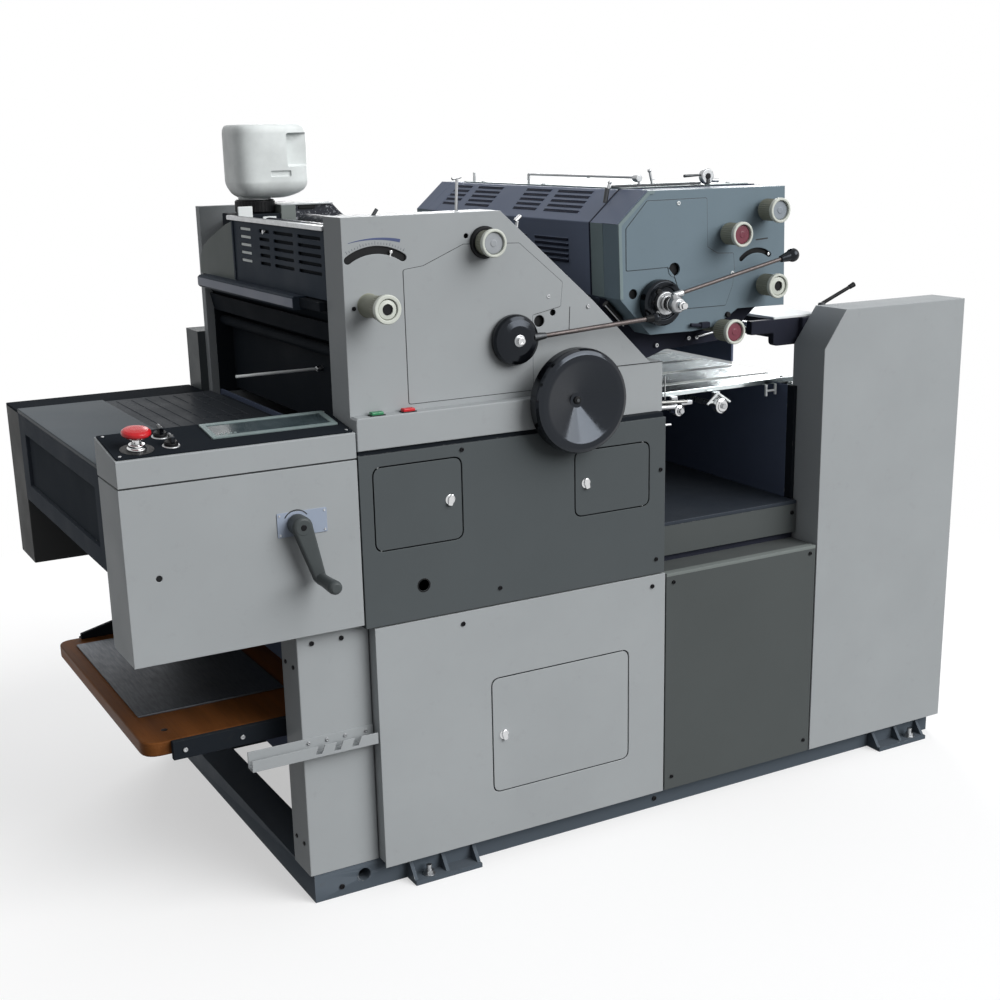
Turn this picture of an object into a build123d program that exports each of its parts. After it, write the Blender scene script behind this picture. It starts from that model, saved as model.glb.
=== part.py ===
from build123d import *
import math
import os

# Two-colour offset printing press for small sheets, in millimetres.
# X runs from the delivery to the feeder, Y from the operator side to the drive side, Z up from the floor.
# All sizes are taken from the front left corner of the base, and the whole is centred at the end.

# Base
BASE_LENGTH = 1739.0
BASE_WIDTH = 956.0
BASE_HEIGHT = 63.0
BEAM_WIDTH = 93.0
CROSS_BEAM_WIDTH = 80.0
BASE_EDGE_RADIUS = 5.0
LIFTING_HOLE_X = 112.0
LIFTING_HOLE_Z = 36.0
LIFTING_HOLE_RADIUS = 14.0
LIFTING_HOLE_DEPTH = 40.0

# Floor brackets
BRACKET_LENGTH = 160.0
BRACKET_REACH = 46.0
BRACKET_PLATE = 10.0
BRACKET_WEB_HEIGHT = 48.0
BRACKET_RIB = 8.0
BRACKET_LEFT_X = 292.0
BRACKET_RIGHT_X = BASE_LENGTH - 127.0
ANCHOR_HOLE_RADIUS = 8.0

# Sheet covers and side frames
SHEET = 3.0
COVER_Y = -30.0
FRAME_Y = 59.0
FRAME_THICKNESS = 27.0
WALL_BOTTOM_Z = 72.0
COVER_DROP = 11.0
SEAM = 3.0
BODY_LEFT_X = 150.0
BODY_RIGHT_X = 865.0
LOWER_TOP_Z = 587.0
MIDDLE_LEFT_X = 131.0
MIDDLE_BOTTOM_Z = 590.0
MIDDLE_TOP_Z = 948.0
UNIT_BOTTOM_Z = 951.0
DRIVE_COVER_TOP_Z = 1092.0

# Access doors: left, right, bottom, top
LOWER_DOOR = (418.0, 762.0, 164.0, 420.0)
MIDDLE_LEFT_DOOR = (164.0, 353.0, 750.0, 914.0)
MIDDLE_RIGHT_DOOR = (631.0, 815.0, 755.0, 891.0)
DOOR_GAP = 5.0
DOOR_CORNER = 16.0
PIVOT_RADIUS = 3.0
PIVOT_PLAY = 0.3
PIVOT_INSET = 10.0
PIVOT_BACK = 7.0
PIVOT_REACH = 22.0
LUG_THICKNESS = 10.0
LUG_WIDTH = 16.0
LUG_GAP = 4.0
CLIP_HEIGHT = 14.0
LATCH_RADIUS = 11.0
LATCH_DEPTH = 7.0
LATCH_INSET = 24.0
INSPECTION_HOLE_X = 263.0
INSPECTION_HOLE_Z = 661.0
INSPECTION_HOLE_RADIUS = 12.0

# Printing unit one
UNIT_ONE_TOP_Z = 1398.0
UNIT_ONE_TOP_RIGHT_X = 475.0
UNIT_ONE_KNEE_X = 696.0
UNIT_ONE_KNEE_Z = 1203.0
UNIT_ONE_HEEL_X = 840.0
UNIT_ONE_HEEL_Z = 1062.0
UNIT_ONE_RIGHT_X = 873.0
LEDGE_RIGHT_X = 540.0
LEDGE_TOP_Z = 1019.0
BUTTON_X = (168.0, 236.0)
BUTTON_SIZE = 26.0
BUTTON_DEPTH = 16.0
BUTTON_HEIGHT = 8.0
SLOT_CENTRE_X = 200.0
SLOT_CENTRE_Z = 1228.5
SLOT_RADIUS = 106.5
SLOT_WIDTH = 15.0
SLOT_HALF_ANGLE = 33.0
ADJUSTER_X = 181.0
ADJUSTER_Z = 1231.0
DIAL_X = 436.0
DIAL_Z = 1338.0
COVER_HOLES_ONE = ((562.0, 1172.0, 12.0), (595.0, 1187.0, 6.5), (397.0, 1352.0, 5.0))

# Handwheel
WHEEL_X = 617.0
WHEEL_Z = 1010.0
WHEEL_RADIUS = 110.0
WHEEL_BACK_Y = -42.0
WHEEL_FRONT_Y = -86.0
WHEEL_RIM_WIDTH = 24.0
WHEEL_DISH_DEPTH = 30.0
WHEEL_HUB_RADIUS = 16.0
WHEEL_SHAFT_RADIUS = 15.0
SHAFT_PLAY = 0.3

# Impression levers
LEFT_LEVER_X = 497.0
LEFT_LEVER_Z = 1140.0
LEFT_DISC_RADIUS = 52.0
LEFT_ROD_ANGLE = 4.3
RIGHT_LEVER_X = 856.0
RIGHT_LEVER_Z = 1191.0
RIGHT_DISC_RADIUS = 49.0
RIGHT_ROD_ANGLE = 12.4
LEFT_LEVER_LENGTH = 326.0
RIGHT_LEVER_LENGTH = 315.0
LEVER_ROD_RADIUS = 5.0
LEFT_BALL_RADIUS = 11.0
RIGHT_BALL_RADIUS = 15.0
DISC_FRONT_Y = -30.0
DISC_BACK_Y = -5.0
LEFT_ROD_Y = -22.0
LEFT_BALL_Y = -47.0
LEFT_BOLT_RADIUS = 13.0
LEFT_BOLT_FRONT_Y = -42.0
RIGHT_ROD_Y = -72.0
RIGHT_BALL_Y = -82.0
RIGHT_ROD_OFFSET = 20.5
LEVER_SHAFT_RADIUS = 12.0
LEVER_HUB_RADIUS = 18.0
LEVER_HUB_FRONT_Y = -90.0

# Printing unit two
UNIT_TWO_OUTLINE = (
    (761.0, 1202.0), (756.0, 1358.0), (832.0, 1424.0), (1201.0, 1423.0),
    (1208.0, 1160.0), (1076.0, 1161.0), (1017.0, 1126.0), (954.0, 1120.0), (839.0, 1121.0),
)
COVER_HOLES_TWO = ((901.0, 1255.0, 12.0), (795.0, 1212.0, 9.0))
ROLLER_KNOBS = (("a", 1141.0, 1374.0), ("b", 1039.0, 1327.0), ("c", 1141.0, 1211.0), ("d", 1024.0, 1119.0))
ROLLER_KNOB_RADIUS = 27.0
ROLLER_KNOB_FRONT_Y = -62.0
ROLLER_KNOB_LENGTH = 36.0
ROLLER_STEM_RADIUS = 13.0
ROLLER_SHAFT_RADIUS = 8.0
CROSS_PANEL_X = 1128.0
CROSS_PANEL_BOTTOM_Z = 1027.0

# Control box and delivery
BOX_LEFT_X = -338.0
BOX_RIGHT_X = 128.0
BOX_BACK_Y = 110.0
BOX_BOTTOM_Z = 599.0
BOX_TOP_Z = 940.0
PANEL_FRONT_Z = 993.0
PANEL_BACK_Z = 1015.0
PANEL_SHEET = 3.0
DISPLAY_LEFT_X = -142.0
DISPLAY_RIGHT_X = 112.0
DISPLAY_FRONT_Y = 16.0
DISPLAY_BACK_Y = 98.0
DISPLAY_HEIGHT = 4.0
STOP_X = -286.0
STOP_Y = 12.0
STOP_HEAD_RADIUS = 27.0
STOP_STEM_RADIUS = 9.0
SELECTOR_POSITIONS = ((-226.0, 66.0), (-222.0, 12.0))
SELECTOR_RADIUS = 13.0
CRANK_X = -4.0
CRANK_Z = 831.0
CRANK_LENGTH = 112.0
CRANK_ANGLE = -74.0
CRANK_ARM_FRONT_Y = -68.0
CRANK_ARM_BACK_Y = -50.0
CRANK_GRIP_FRONT_Y = -142.0
CRANK_PLATE_WIDTH = 102.0
CRANK_PLATE_HEIGHT = 48.0
FAR_BOX_LEFT_X = -330.0
FAR_BOX_RIGHT_X = 117.0
FAR_BOX_BOTTOM_Z = 587.0
FAR_BOX_TOP_Z = 950.0
TABLE_LEFT_X = -332.0
TABLE_SPLIT_X = -136.0
TABLE_BOTTOM_Z = 745.0
TABLE_TOP_Z = 957.0
COLUMN_LEFT_X = -8.0
COLUMN_RIGHT_X = 148.0
COLUMN_DEPTH = 90.0

# Delivery pile board and its rails
PILE_LEFT_X = -300.0
PILE_RIGHT_X = 118.0
PILE_TOP_Z = 385.0
PILE_THICKNESS = 30.0
PILE_CORNER = 38.0
PILE_BAR_LEFT_X = -245.0
PILE_BAR_WIDTH = 13.0
PILE_BAR_HEIGHT = 40.0
RAIL_LEFT_X = 50.0
RAIL_WIDTH = 40.0
RAIL_DEPTH = 6.7
RAIL_PLAY = 0.3
STEEL_SHEET = 4.0
STEEL_SHEET_INSET = 32.0
STEEL_SHEET_NEAR = 218.0
STEEL_SHEET_FAR = 308.0

# Notched rail on the operator side
NOTCH_RAIL_LEFT_X = -125.0
NOTCH_RAIL_RIGHT_X = 147.0
NOTCH_RAIL_DEPTH = 28.0
NOTCH_RAIL_BOTTOM_Z = 338.0
NOTCH_RAIL_HEIGHT = 34.0
NOTCH_X = (20.0, 60.0, 100.0)
NOTCH_WIDTH = 14.0
NOTCH_SLANT = 12.0

# Feed side
SHELF_FRONT_Y = 45.0
SHELF_BOTTOM_Z = 600.0
SHELF_TOP_Z = 680.0
RIGHT_PANEL_LEFT_X = 868.0
RIGHT_PANEL_RIGHT_X = BASE_LENGTH - 434.0
RIGHT_PANEL_TOP_Z = 584.0
TOWER_LENGTH = 441.0
TOWER_OVERHANG = 11.0
TOWER_RIGHT_X = BASE_LENGTH + TOWER_OVERHANG
TOWER_LEFT_X = TOWER_RIGHT_X - TOWER_LENGTH
TOWER_TOP_Z = 1140.0
TOWER_SHOULDER_X = TOWER_LEFT_X + 63.0
TOWER_SHOULDER_Z = TOWER_TOP_Z - 87.0
TOWER_BACK_Y = 80.0
FEED_BOARD_LEFT_X = 868.0
FEED_BOARD_RIGHT_X = BASE_LENGTH - 394.0
FEED_BOARD_FRONT_Y = 118.0
FEED_BOARD_TOP_Z = 967.0
FEED_BOARD_THICKNESS = 12.0
CROSS_SHAFT_RADIUS = 11.0
HEAD_BEAM_LEFT_X = TOWER_LEFT_X + 26.0
HEAD_BEAM_RIGHT_X = HEAD_BEAM_LEFT_X + 60.0
HEAD_LEFT_X = HEAD_BEAM_LEFT_X - 143.0
HEAD_BEAM_DEPTH = 60.0
HEAD_HOUSING_WIDTH = 77.0
HEAD_HOUSING_DEPTH = 63.0
HEAD_TOP_Z = 1119.0
HEAD_PLATE = 6.0
HEAD_ARM_HEIGHT = 32.0
HEAD_ARM_WIDTH = 20.0

ROUND_SIDES = 20
WHEEL_SIDES = 48
DISC_SIDES = 32
PIN_SIDES = 12

CENTRE_Y = BASE_WIDTH / 2
FRAME_BACK_Y = FRAME_Y + FRAME_THICKNESS
SHAFT_END_Y = FRAME_BACK_Y - 2
INNER_FAR_Y = BASE_WIDTH - FRAME_BACK_Y
PANEL_SLOPE = math.degrees(math.atan2(PANEL_BACK_Z - PANEL_FRONT_Z, BOX_BACK_Y - COVER_Y))
FAR_COVER_Y = BASE_WIDTH - COVER_Y
SKIRT_Z = BASE_HEIGHT - COVER_DROP


def block(x, y, z):
    """A box from its lowest to its highest corner along each axis."""
    corner = Box(x[1] - x[0], y[1] - y[0], z[1] - z[0], align=(Align.MIN, Align.MIN, Align.MIN))
    return Pos(x[0], y[0], z[0]) * corner


def face_at(outline, y):
    """A flat face in the plane at y, from (x, z) points."""
    return make_face(Polyline(*[(x, y, z) for x, z in outline], close=True))


def plate(outline, y_front, y_back):
    """A plate with the given side outline."""
    return extrude(face_at(outline, y_front), amount=y_back - y_front, dir=(0, 1, 0))


def tray(outline, y_front, y_back, wall=SHEET):
    """A folded cover with a front wall and a rim, open towards the machine."""
    outer = face_at(outline, y_front)
    inner = offset(outer, -wall, kind=Kind.INTERSECTION)
    shell = extrude(outer, amount=y_back - y_front, dir=(0, 1, 0))
    cavity = extrude(inner, amount=y_back - y_front, dir=(0, 1, 0))
    return shell - Pos(0, wall, 0) * cavity


def many_sided(rings):
    """A closed solid through rings of points, each joined to the next by flat sides."""
    faces = [make_face(Polyline(*rings[0], close=True)), make_face(Polyline(*rings[-1], close=True))]
    for ring, following in zip(rings, rings[1:]):
        for i in range(len(ring)):
            corners = (ring[i - 1], ring[i], following[i], following[i - 1])
            faces.append(make_face(Polyline(*corners, close=True)))
    return Solid(Shell(faces))


def circle_points(radius, sides):
    turns = [2 * math.pi * i / sides for i in range(sides)]
    return [(radius * math.cos(turn), radius * math.sin(turn)) for turn in turns]


def turned(x, z, steps, sides=ROUND_SIDES):
    """A turned piece about an axis along Y, from (radius, y) steps given front to back."""
    return many_sided([[(x + u, y, z + v) for u, v in circle_points(radius, sides)] for radius, y in steps])


def bar(x, z, radius, y_front, y_back, sides=ROUND_SIDES):
    """A round bar along Y, with few flat sides and its corners at the radius."""
    return turned(x, z, ((radius, y_front), (radius, y_back)), sides)


def bore(x, z, radius, y_front, y_back, sides=ROUND_SIDES):
    """What a round hole along Y takes away, with its flats at the radius."""
    return bar(x, z, radius / math.cos(math.pi / sides), y_front, y_back, sides)


def opposite(piece):
    """The same piece on the drive side."""
    return mirror(piece, about=Plane(origin=(0, CENTRE_Y, 0), z_dir=(0, 1, 0)))


def rectangle(left, right, bottom, top):
    return ((left, bottom), (left, top), (right, top), (right, bottom))


def rounded_plate(left, right, bottom, top, radius, y_front, y_back):
    slab = plate(rectangle(left, right, bottom, top), y_front, y_back)
    return fillet(slab.edges().filter_by(Axis.Y), radius)


# Base and floor brackets

def base_frame():
    front = block((0, BASE_LENGTH), (0, BEAM_WIDTH), (0, BASE_HEIGHT))
    front = fillet(front.edges().filter_by(Axis.X).group_by(Axis.Z)[-1], BASE_EDGE_RADIUS)
    front -= bore(LIFTING_HOLE_X, LIFTING_HOLE_Z, LIFTING_HOLE_RADIUS, 0, LIFTING_HOLE_DEPTH)
    frame = front + opposite(front)
    inner = (BEAM_WIDTH, BASE_WIDTH - BEAM_WIDTH)
    starts = (0, (BASE_LENGTH - CROSS_BEAM_WIDTH) / 2, BASE_LENGTH - CROSS_BEAM_WIDTH)
    for start in starts:
        frame += block((start, start + CROSS_BEAM_WIDTH), inner, (0, BASE_HEIGHT - BASE_EDGE_RADIUS))
    return frame


def floor_bracket(centre_x, hole_side):
    left = centre_x - BRACKET_LENGTH / 2
    right = centre_x + BRACKET_LENGTH / 2
    foot = block((left, right), (-BRACKET_REACH, 0), (0, BRACKET_PLATE))
    web = block((left, right), (-BRACKET_RIB, 0), (0, BRACKET_WEB_HEIGHT))
    bracket = foot + web
    rib_side = ((-BRACKET_RIB, BRACKET_PLATE), (-BRACKET_REACH + BRACKET_RIB, BRACKET_PLATE),
                (-BRACKET_RIB, BRACKET_WEB_HEIGHT))
    for start in (left, centre_x - BRACKET_RIB / 2, right - BRACKET_RIB):
        rib = make_face(Polyline(*[(start, y, z) for y, z in rib_side], close=True))
        bracket += extrude(rib, amount=BRACKET_RIB, dir=(1, 0, 0))
    hole_x = centre_x + hole_side * BRACKET_LENGTH / 4
    drill = Cylinder(ANCHOR_HOLE_RADIUS, 4 * BRACKET_PLATE)
    return bracket - Pos(hole_x, -BRACKET_REACH / 2 - BRACKET_RIB / 2, 0) * drill


def floor_brackets():
    near = [floor_bracket(BRACKET_LEFT_X, -1), floor_bracket(BRACKET_RIGHT_X, 1)]
    return near + [opposite(bracket) for bracket in near]


# Side frames and columns

FRAME_MARGIN = 8.0


def side_frame_outline():
    left = MIDDLE_LEFT_X + FRAME_MARGIN
    top = UNIT_ONE_TOP_Z - FRAME_MARGIN
    unit_two_left = UNIT_TWO_OUTLINE[1][0] + FRAME_MARGIN
    unit_two_top = UNIT_TWO_OUTLINE[2][1] - FRAME_MARGIN
    unit_two_right = UNIT_TWO_OUTLINE[3][0] - FRAME_MARGIN
    return (
        (BODY_LEFT_X + FRAME_MARGIN, BASE_HEIGHT), (BODY_LEFT_X + FRAME_MARGIN, MIDDLE_BOTTOM_Z),
        (left, MIDDLE_BOTTOM_Z), (left, top), (UNIT_ONE_TOP_RIGHT_X - FRAME_MARGIN / 2, top),
        (UNIT_ONE_KNEE_X, UNIT_ONE_KNEE_Z - FRAME_MARGIN / 2), (770.0, 1150.0),
        (unit_two_left, UNIT_TWO_OUTLINE[0][1]), (unit_two_left, UNIT_TWO_OUTLINE[1][1] - FRAME_MARGIN / 2),
        (UNIT_TWO_OUTLINE[2][0] + FRAME_MARGIN / 2, unit_two_top), (unit_two_right, unit_two_top),
        (unit_two_right, UNIT_TWO_OUTLINE[4][1] + FRAME_MARGIN),
        (1090.0, 1085.0), (920.0, 1076.0), (BODY_RIGHT_X, 1058.0), (BODY_RIGHT_X, SHELF_BOTTOM_Z),
        (RIGHT_PANEL_RIGHT_X, SHELF_BOTTOM_Z), (RIGHT_PANEL_RIGHT_X, BASE_HEIGHT),
    )


def shaft_places():
    """Every shaft that passes through the operator side frame: x, z, radius."""
    places = [(WHEEL_X, WHEEL_Z, WHEEL_SHAFT_RADIUS)]
    places += [(LEFT_LEVER_X, LEFT_LEVER_Z, LEVER_SHAFT_RADIUS), (RIGHT_LEVER_X, RIGHT_LEVER_Z, LEVER_SHAFT_RADIUS)]
    places += [(ADJUSTER_X, ADJUSTER_Z, ROLLER_SHAFT_RADIUS), (DIAL_X, DIAL_Z, ROLLER_SHAFT_RADIUS)]
    places += [(x, z, ROLLER_SHAFT_RADIUS) for _, x, z in ROLLER_KNOBS]
    return places


def bored(piece, play):
    for x, z, radius in shaft_places():
        piece -= bore(x, z, radius + play, COVER_Y, FRAME_BACK_Y + 1)
    return piece


def side_frames():
    frame = plate(side_frame_outline(), FRAME_Y, FRAME_BACK_Y)
    return [bored(frame, SHAFT_PLAY), opposite(frame)]


def column(shoulder_z, top_z):
    """A post with the rail that the pile board slides on."""
    post = block((COLUMN_LEFT_X, COLUMN_RIGHT_X), (0, COLUMN_DEPTH), (BASE_HEIGHT, shoulder_z))
    post = fillet(post.edges().filter_by(Axis.Z).group_by(Axis.Y)[0], SHEET)
    if top_z > shoulder_z:
        post += block((COLUMN_LEFT_X, BOX_RIGHT_X - SEAM), (0, COLUMN_DEPTH), (shoulder_z, top_z))
    span = (RAIL_LEFT_X, RAIL_LEFT_X + RAIL_WIDTH)
    return post + block(span, (COLUMN_DEPTH, COLUMN_DEPTH + RAIL_DEPTH), (BASE_HEIGHT, top_z))


def delivery_columns():
    near = column(MIDDLE_BOTTOM_Z, BOX_BOTTOM_Z)
    far = column(FAR_BOX_BOTTOM_Z, FAR_BOX_BOTTOM_Z)
    return [near, opposite(far)]


# Covers with their doors

def pivot_x(door, side):
    """The pivot pin stands inside the cover, just in from the leaf's edge."""
    return door[1] - PIVOT_INSET if side > 0 else door[0] + PIVOT_INSET


def access_door(door, side):
    """A door leaf with its latch and hidden pivot pin; side is where the pin is, 1 for right."""
    left, right, bottom, top = door
    leaf = rounded_plate(left, right, bottom, top, DOOR_CORNER, COVER_Y, COVER_Y + SHEET)
    latch_x = left + LATCH_INSET if side > 0 else right - LATCH_INSET
    leaf += bar(latch_x, (bottom + top) / 2, LATCH_RADIUS, COVER_Y - LATCH_DEPTH, COVER_Y, PIN_SIDES)
    x = pivot_x(door, side)
    y = COVER_Y + PIVOT_BACK
    reach = DOOR_GAP + PIVOT_REACH
    leaf += upright(x, y, ((PIVOT_RADIUS, bottom - reach), (PIVOT_RADIUS, top + reach)), PIN_SIDES)
    for middle in (bottom + LUG_WIDTH + CLIP_HEIGHT, top - LUG_WIDTH - CLIP_HEIGHT):
        leaf += block((x - PIVOT_RADIUS, x + PIVOT_RADIUS), (COVER_Y + SHEET, y),
                      (middle - CLIP_HEIGHT / 2, middle + CLIP_HEIGHT / 2))
    return leaf


def door_opening(door):
    left, right, bottom, top = door
    return rounded_plate(left - DOOR_GAP, right + DOOR_GAP, bottom - DOOR_GAP, top + DOOR_GAP,
                         DOOR_CORNER + DOOR_GAP, COVER_Y - 1, COVER_Y + SHEET + 1)


def pivot_lugs(door, side):
    """Two bored lugs inside the cover, above and below the door."""
    x = pivot_x(door, side)
    y = COVER_Y + PIVOT_BACK
    bottom, top = door[2] - DOOR_GAP - LUG_GAP, door[3] + DOOR_GAP + LUG_GAP
    lugs = []
    for span in ((bottom - LUG_THICKNESS, bottom), (top, top + LUG_THICKNESS)):
        lug = block((x - LUG_WIDTH / 2, x + LUG_WIDTH / 2), (COVER_Y + SHEET, y + LUG_WIDTH / 2), span)
        hole = (PIVOT_RADIUS + PIVOT_PLAY) / math.cos(math.pi / PIN_SIDES)
        lugs.append(lug - upright(x, y, ((hole, span[0] - 1), (hole, span[1] + 1)), PIN_SIDES))
    return lugs


def hang_door(cover, door, side):
    cover -= door_opening(door)
    for lug in pivot_lugs(door, side):
        cover += lug
    return cover


def lower_cover():
    outline = rectangle(BODY_LEFT_X, BODY_RIGHT_X, BASE_HEIGHT, LOWER_TOP_Z)
    cover = tray(outline, COVER_Y, FRAME_Y)
    cover += block((BODY_LEFT_X, BODY_RIGHT_X), (COVER_Y, COVER_Y + SHEET), (SKIRT_Z, BASE_HEIGHT))
    return hang_door(cover, LOWER_DOOR, 1)


def middle_cover():
    outline = rectangle(MIDDLE_LEFT_X, BODY_RIGHT_X - SEAM, MIDDLE_BOTTOM_Z, MIDDLE_TOP_Z)
    cover = tray(outline, COVER_Y, FRAME_Y)
    cover -= bore(INSPECTION_HOLE_X, INSPECTION_HOLE_Z, INSPECTION_HOLE_RADIUS, COVER_Y - 1, COVER_Y + SHEET + 1)
    return hang_door(hang_door(cover, MIDDLE_LEFT_DOOR, -1), MIDDLE_RIGHT_DOOR, 1)


# Printing unit one

def unit_one_outline():
    return (
        (MIDDLE_LEFT_X, UNIT_BOTTOM_Z), (MIDDLE_LEFT_X, UNIT_ONE_TOP_Z), (UNIT_ONE_TOP_RIGHT_X, UNIT_ONE_TOP_Z),
        (UNIT_ONE_KNEE_X, UNIT_ONE_KNEE_Z), (UNIT_ONE_HEEL_X, UNIT_ONE_HEEL_Z),
        (UNIT_ONE_RIGHT_X, UNIT_ONE_HEEL_Z), (UNIT_ONE_RIGHT_X, UNIT_BOTTOM_Z),
    )


def arc_slot():
    """The curved window over the adjuster's pointer."""
    slot = bore(SLOT_CENTRE_X, SLOT_CENTRE_Z, SLOT_RADIUS + SLOT_WIDTH / 2, -1, SHEET + 1, WHEEL_SIDES)
    slot -= bore(SLOT_CENTRE_X, SLOT_CENTRE_Z, SLOT_RADIUS - SLOT_WIDTH / 2, -2, SHEET + 2, WHEEL_SIDES)
    reach = 2 * SLOT_RADIUS
    spread = reach * math.tan(math.radians(SLOT_HALF_ANGLE))
    wedge_outline = ((SLOT_CENTRE_X, SLOT_CENTRE_Z), (SLOT_CENTRE_X - spread, SLOT_CENTRE_Z + reach),
                     (SLOT_CENTRE_X + spread, SLOT_CENTRE_Z + reach))
    return slot & plate(wedge_outline, -2, SHEET + 2)


def unit_one_cover():
    cover = bored(tray(unit_one_outline(), 0, FRAME_Y), 2 * SHEET)
    cover -= arc_slot()
    for x, z, radius in COVER_HOLES_ONE:
        cover -= bore(x, z, radius, -1, SHEET + 1)
    return cover


def button_ledge():
    ledge = block((MIDDLE_LEFT_X, LEDGE_RIGHT_X), (COVER_Y, 0), (UNIT_BOTTOM_Z, LEDGE_TOP_Z))
    ledge = fillet(ledge.edges().filter_by(Axis.X).group_by(Axis.Z)[-1].group_by(Axis.Y)[0], SHEET)
    y = (COVER_Y / 2 - BUTTON_DEPTH / 2, COVER_Y / 2 + BUTTON_DEPTH / 2)
    for x in BUTTON_X:
        ledge += block((x, x + BUTTON_SIZE), y, (LEDGE_TOP_Z, LEDGE_TOP_Z + BUTTON_HEIGHT))
    return ledge


GUARD_X = MIDDLE_LEFT_X
GUARD_THICKNESS = 6.0
GUARD_TOP_DROP = 26.0
GUARD_HEIGHT = 136.0
GUARD_CORNER = ((230.0, 0.0), (130.0, 20.0), (55.0, 54.0), (18.0, 102.0), (0.0, 136.0))
GUARD_TOP_Z = UNIT_ONE_TOP_Z - GUARD_TOP_DROP
GUARD_BOTTOM_Z = GUARD_TOP_Z - GUARD_HEIGHT
GUARD_SLOT_ROWS = 4
GUARD_SLOT_PITCH = 24.0
GUARD_SLOT_HEIGHT = 9.0
GUARD_SLOT_COLUMNS = 3
GUARD_SLOT_GAP = 20.0
GUIDE_BAR_HEIGHT = 28.0
GUIDE_BAR_REACH = 26.0
GUIDE_BAR_INSET = 173.0
HOUSING_MARGIN = 12.0
HOUSING_INSET = 69.0
OUTLET_TOP_DROP = 248.0


def unit_one_housing():
    """The closed body of rollers and cylinders between the side frames."""
    back_x = GUARD_X + GUARD_THICKNESS
    outline = (
        (GUARD_X + HOUSING_INSET, UNIT_BOTTOM_Z), (GUARD_X + HOUSING_INSET, UNIT_ONE_TOP_Z - OUTLET_TOP_DROP),
        (back_x, GUARD_BOTTOM_Z - GUIDE_BAR_HEIGHT), (back_x, GUARD_TOP_Z - HOUSING_MARGIN),
        (UNIT_ONE_TOP_RIGHT_X - HOUSING_MARGIN, GUARD_TOP_Z - HOUSING_MARGIN),
        (UNIT_ONE_KNEE_X - HOUSING_MARGIN, UNIT_ONE_KNEE_Z - 2 * HOUSING_MARGIN),
        (BODY_RIGHT_X, UNIT_ONE_HEEL_Z - HOUSING_MARGIN), (BODY_RIGHT_X, UNIT_BOTTOM_Z),
    )
    return plate(outline, FRAME_BACK_Y, INNER_FAR_Y)


def slotted_guard():
    """A slotted sheet with a rounded far corner and a rolled top edge."""
    corner = [(INNER_FAR_Y - inset, GUARD_TOP_Z - drop) for inset, drop in GUARD_CORNER]
    outline = [(FRAME_BACK_Y, GUARD_TOP_Z)] + corner + [(FRAME_BACK_Y, GUARD_BOTTOM_Z)]
    sheet = make_face(Polyline(*[(GUARD_X, y, z) for y, z in outline], close=True))
    guard = extrude(sheet, amount=GUARD_THICKNESS, dir=(1, 0, 0))
    straight_end = INNER_FAR_Y - GUARD_CORNER[0][0]
    pitch = (straight_end - FRAME_BACK_Y - GUARD_SLOT_GAP) / GUARD_SLOT_COLUMNS
    for row in range(GUARD_SLOT_ROWS):
        top = GUARD_TOP_Z - GUARD_SLOT_PITCH * (row + 0.7)
        for column_number in range(GUARD_SLOT_COLUMNS):
            start = FRAME_BACK_Y + GUARD_SLOT_GAP + column_number * pitch
            guard -= block((GUARD_X - 1, GUARD_X + GUARD_THICKNESS - 2), (start, start + pitch - GUARD_SLOT_GAP),
                           (top - GUARD_SLOT_HEIGHT, top))
    rolled_edge = block((GUARD_X - 4, GUARD_X + GUARD_THICKNESS + 4), (FRAME_BACK_Y, straight_end),
                        (GUARD_TOP_Z, GUARD_TOP_Z + 8))
    return guard + rolled_edge


def guide_bar():
    strip = block((GUARD_X - GUIDE_BAR_REACH, GUARD_X + GUARD_THICKNESS),
                  (FRAME_BACK_Y + GUIDE_BAR_INSET, INNER_FAR_Y),
                  (GUARD_BOTTOM_Z - GUIDE_BAR_HEIGHT, GUARD_BOTTOM_Z))
    return chamfer(strip.edges().filter_by(Axis.Y).group_by(Axis.X)[0], 5)


TOP_ROLLERS = ((214.0, -46.0, 20.0), (302.0, -45.0, 24.0), (384.0, -46.0, 20.0))
ROLLER_WELL_X = (180.0, 416.0)
ROLLER_WELL_FLOOR_DROP = 78.0


def rollers_end_y():
    """The rollers stop short of the bottle's stand."""
    return BOTTLE_Y - BOTTLE_STAND_WIDTH / 2 - BUTTON_SIZE


def top_rollers():
    """The rollers that show on top of the first unit, in their open well."""
    return [bar(x, UNIT_ONE_TOP_Z + drop, radius, FRAME_BACK_Y, rollers_end_y()) for x, drop, radius in TOP_ROLLERS]


def open_housing():
    """The housing with the rollers' well, stepped back behind the guard's rounded corner."""
    step_y = INNER_FAR_Y - GUARD_CORNER[0][0]
    step = block((GUARD_X, GUARD_X + HOUSING_INSET), (step_y, INNER_FAR_Y), (GUARD_BOTTOM_Z, UNIT_ONE_TOP_Z))
    well = block(ROLLER_WELL_X, (FRAME_BACK_Y, rollers_end_y()),
                 (UNIT_ONE_TOP_Z - ROLLER_WELL_FLOOR_DROP, UNIT_ONE_TOP_Z))
    return unit_one_housing() - step - well - bottle_stand()


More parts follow.
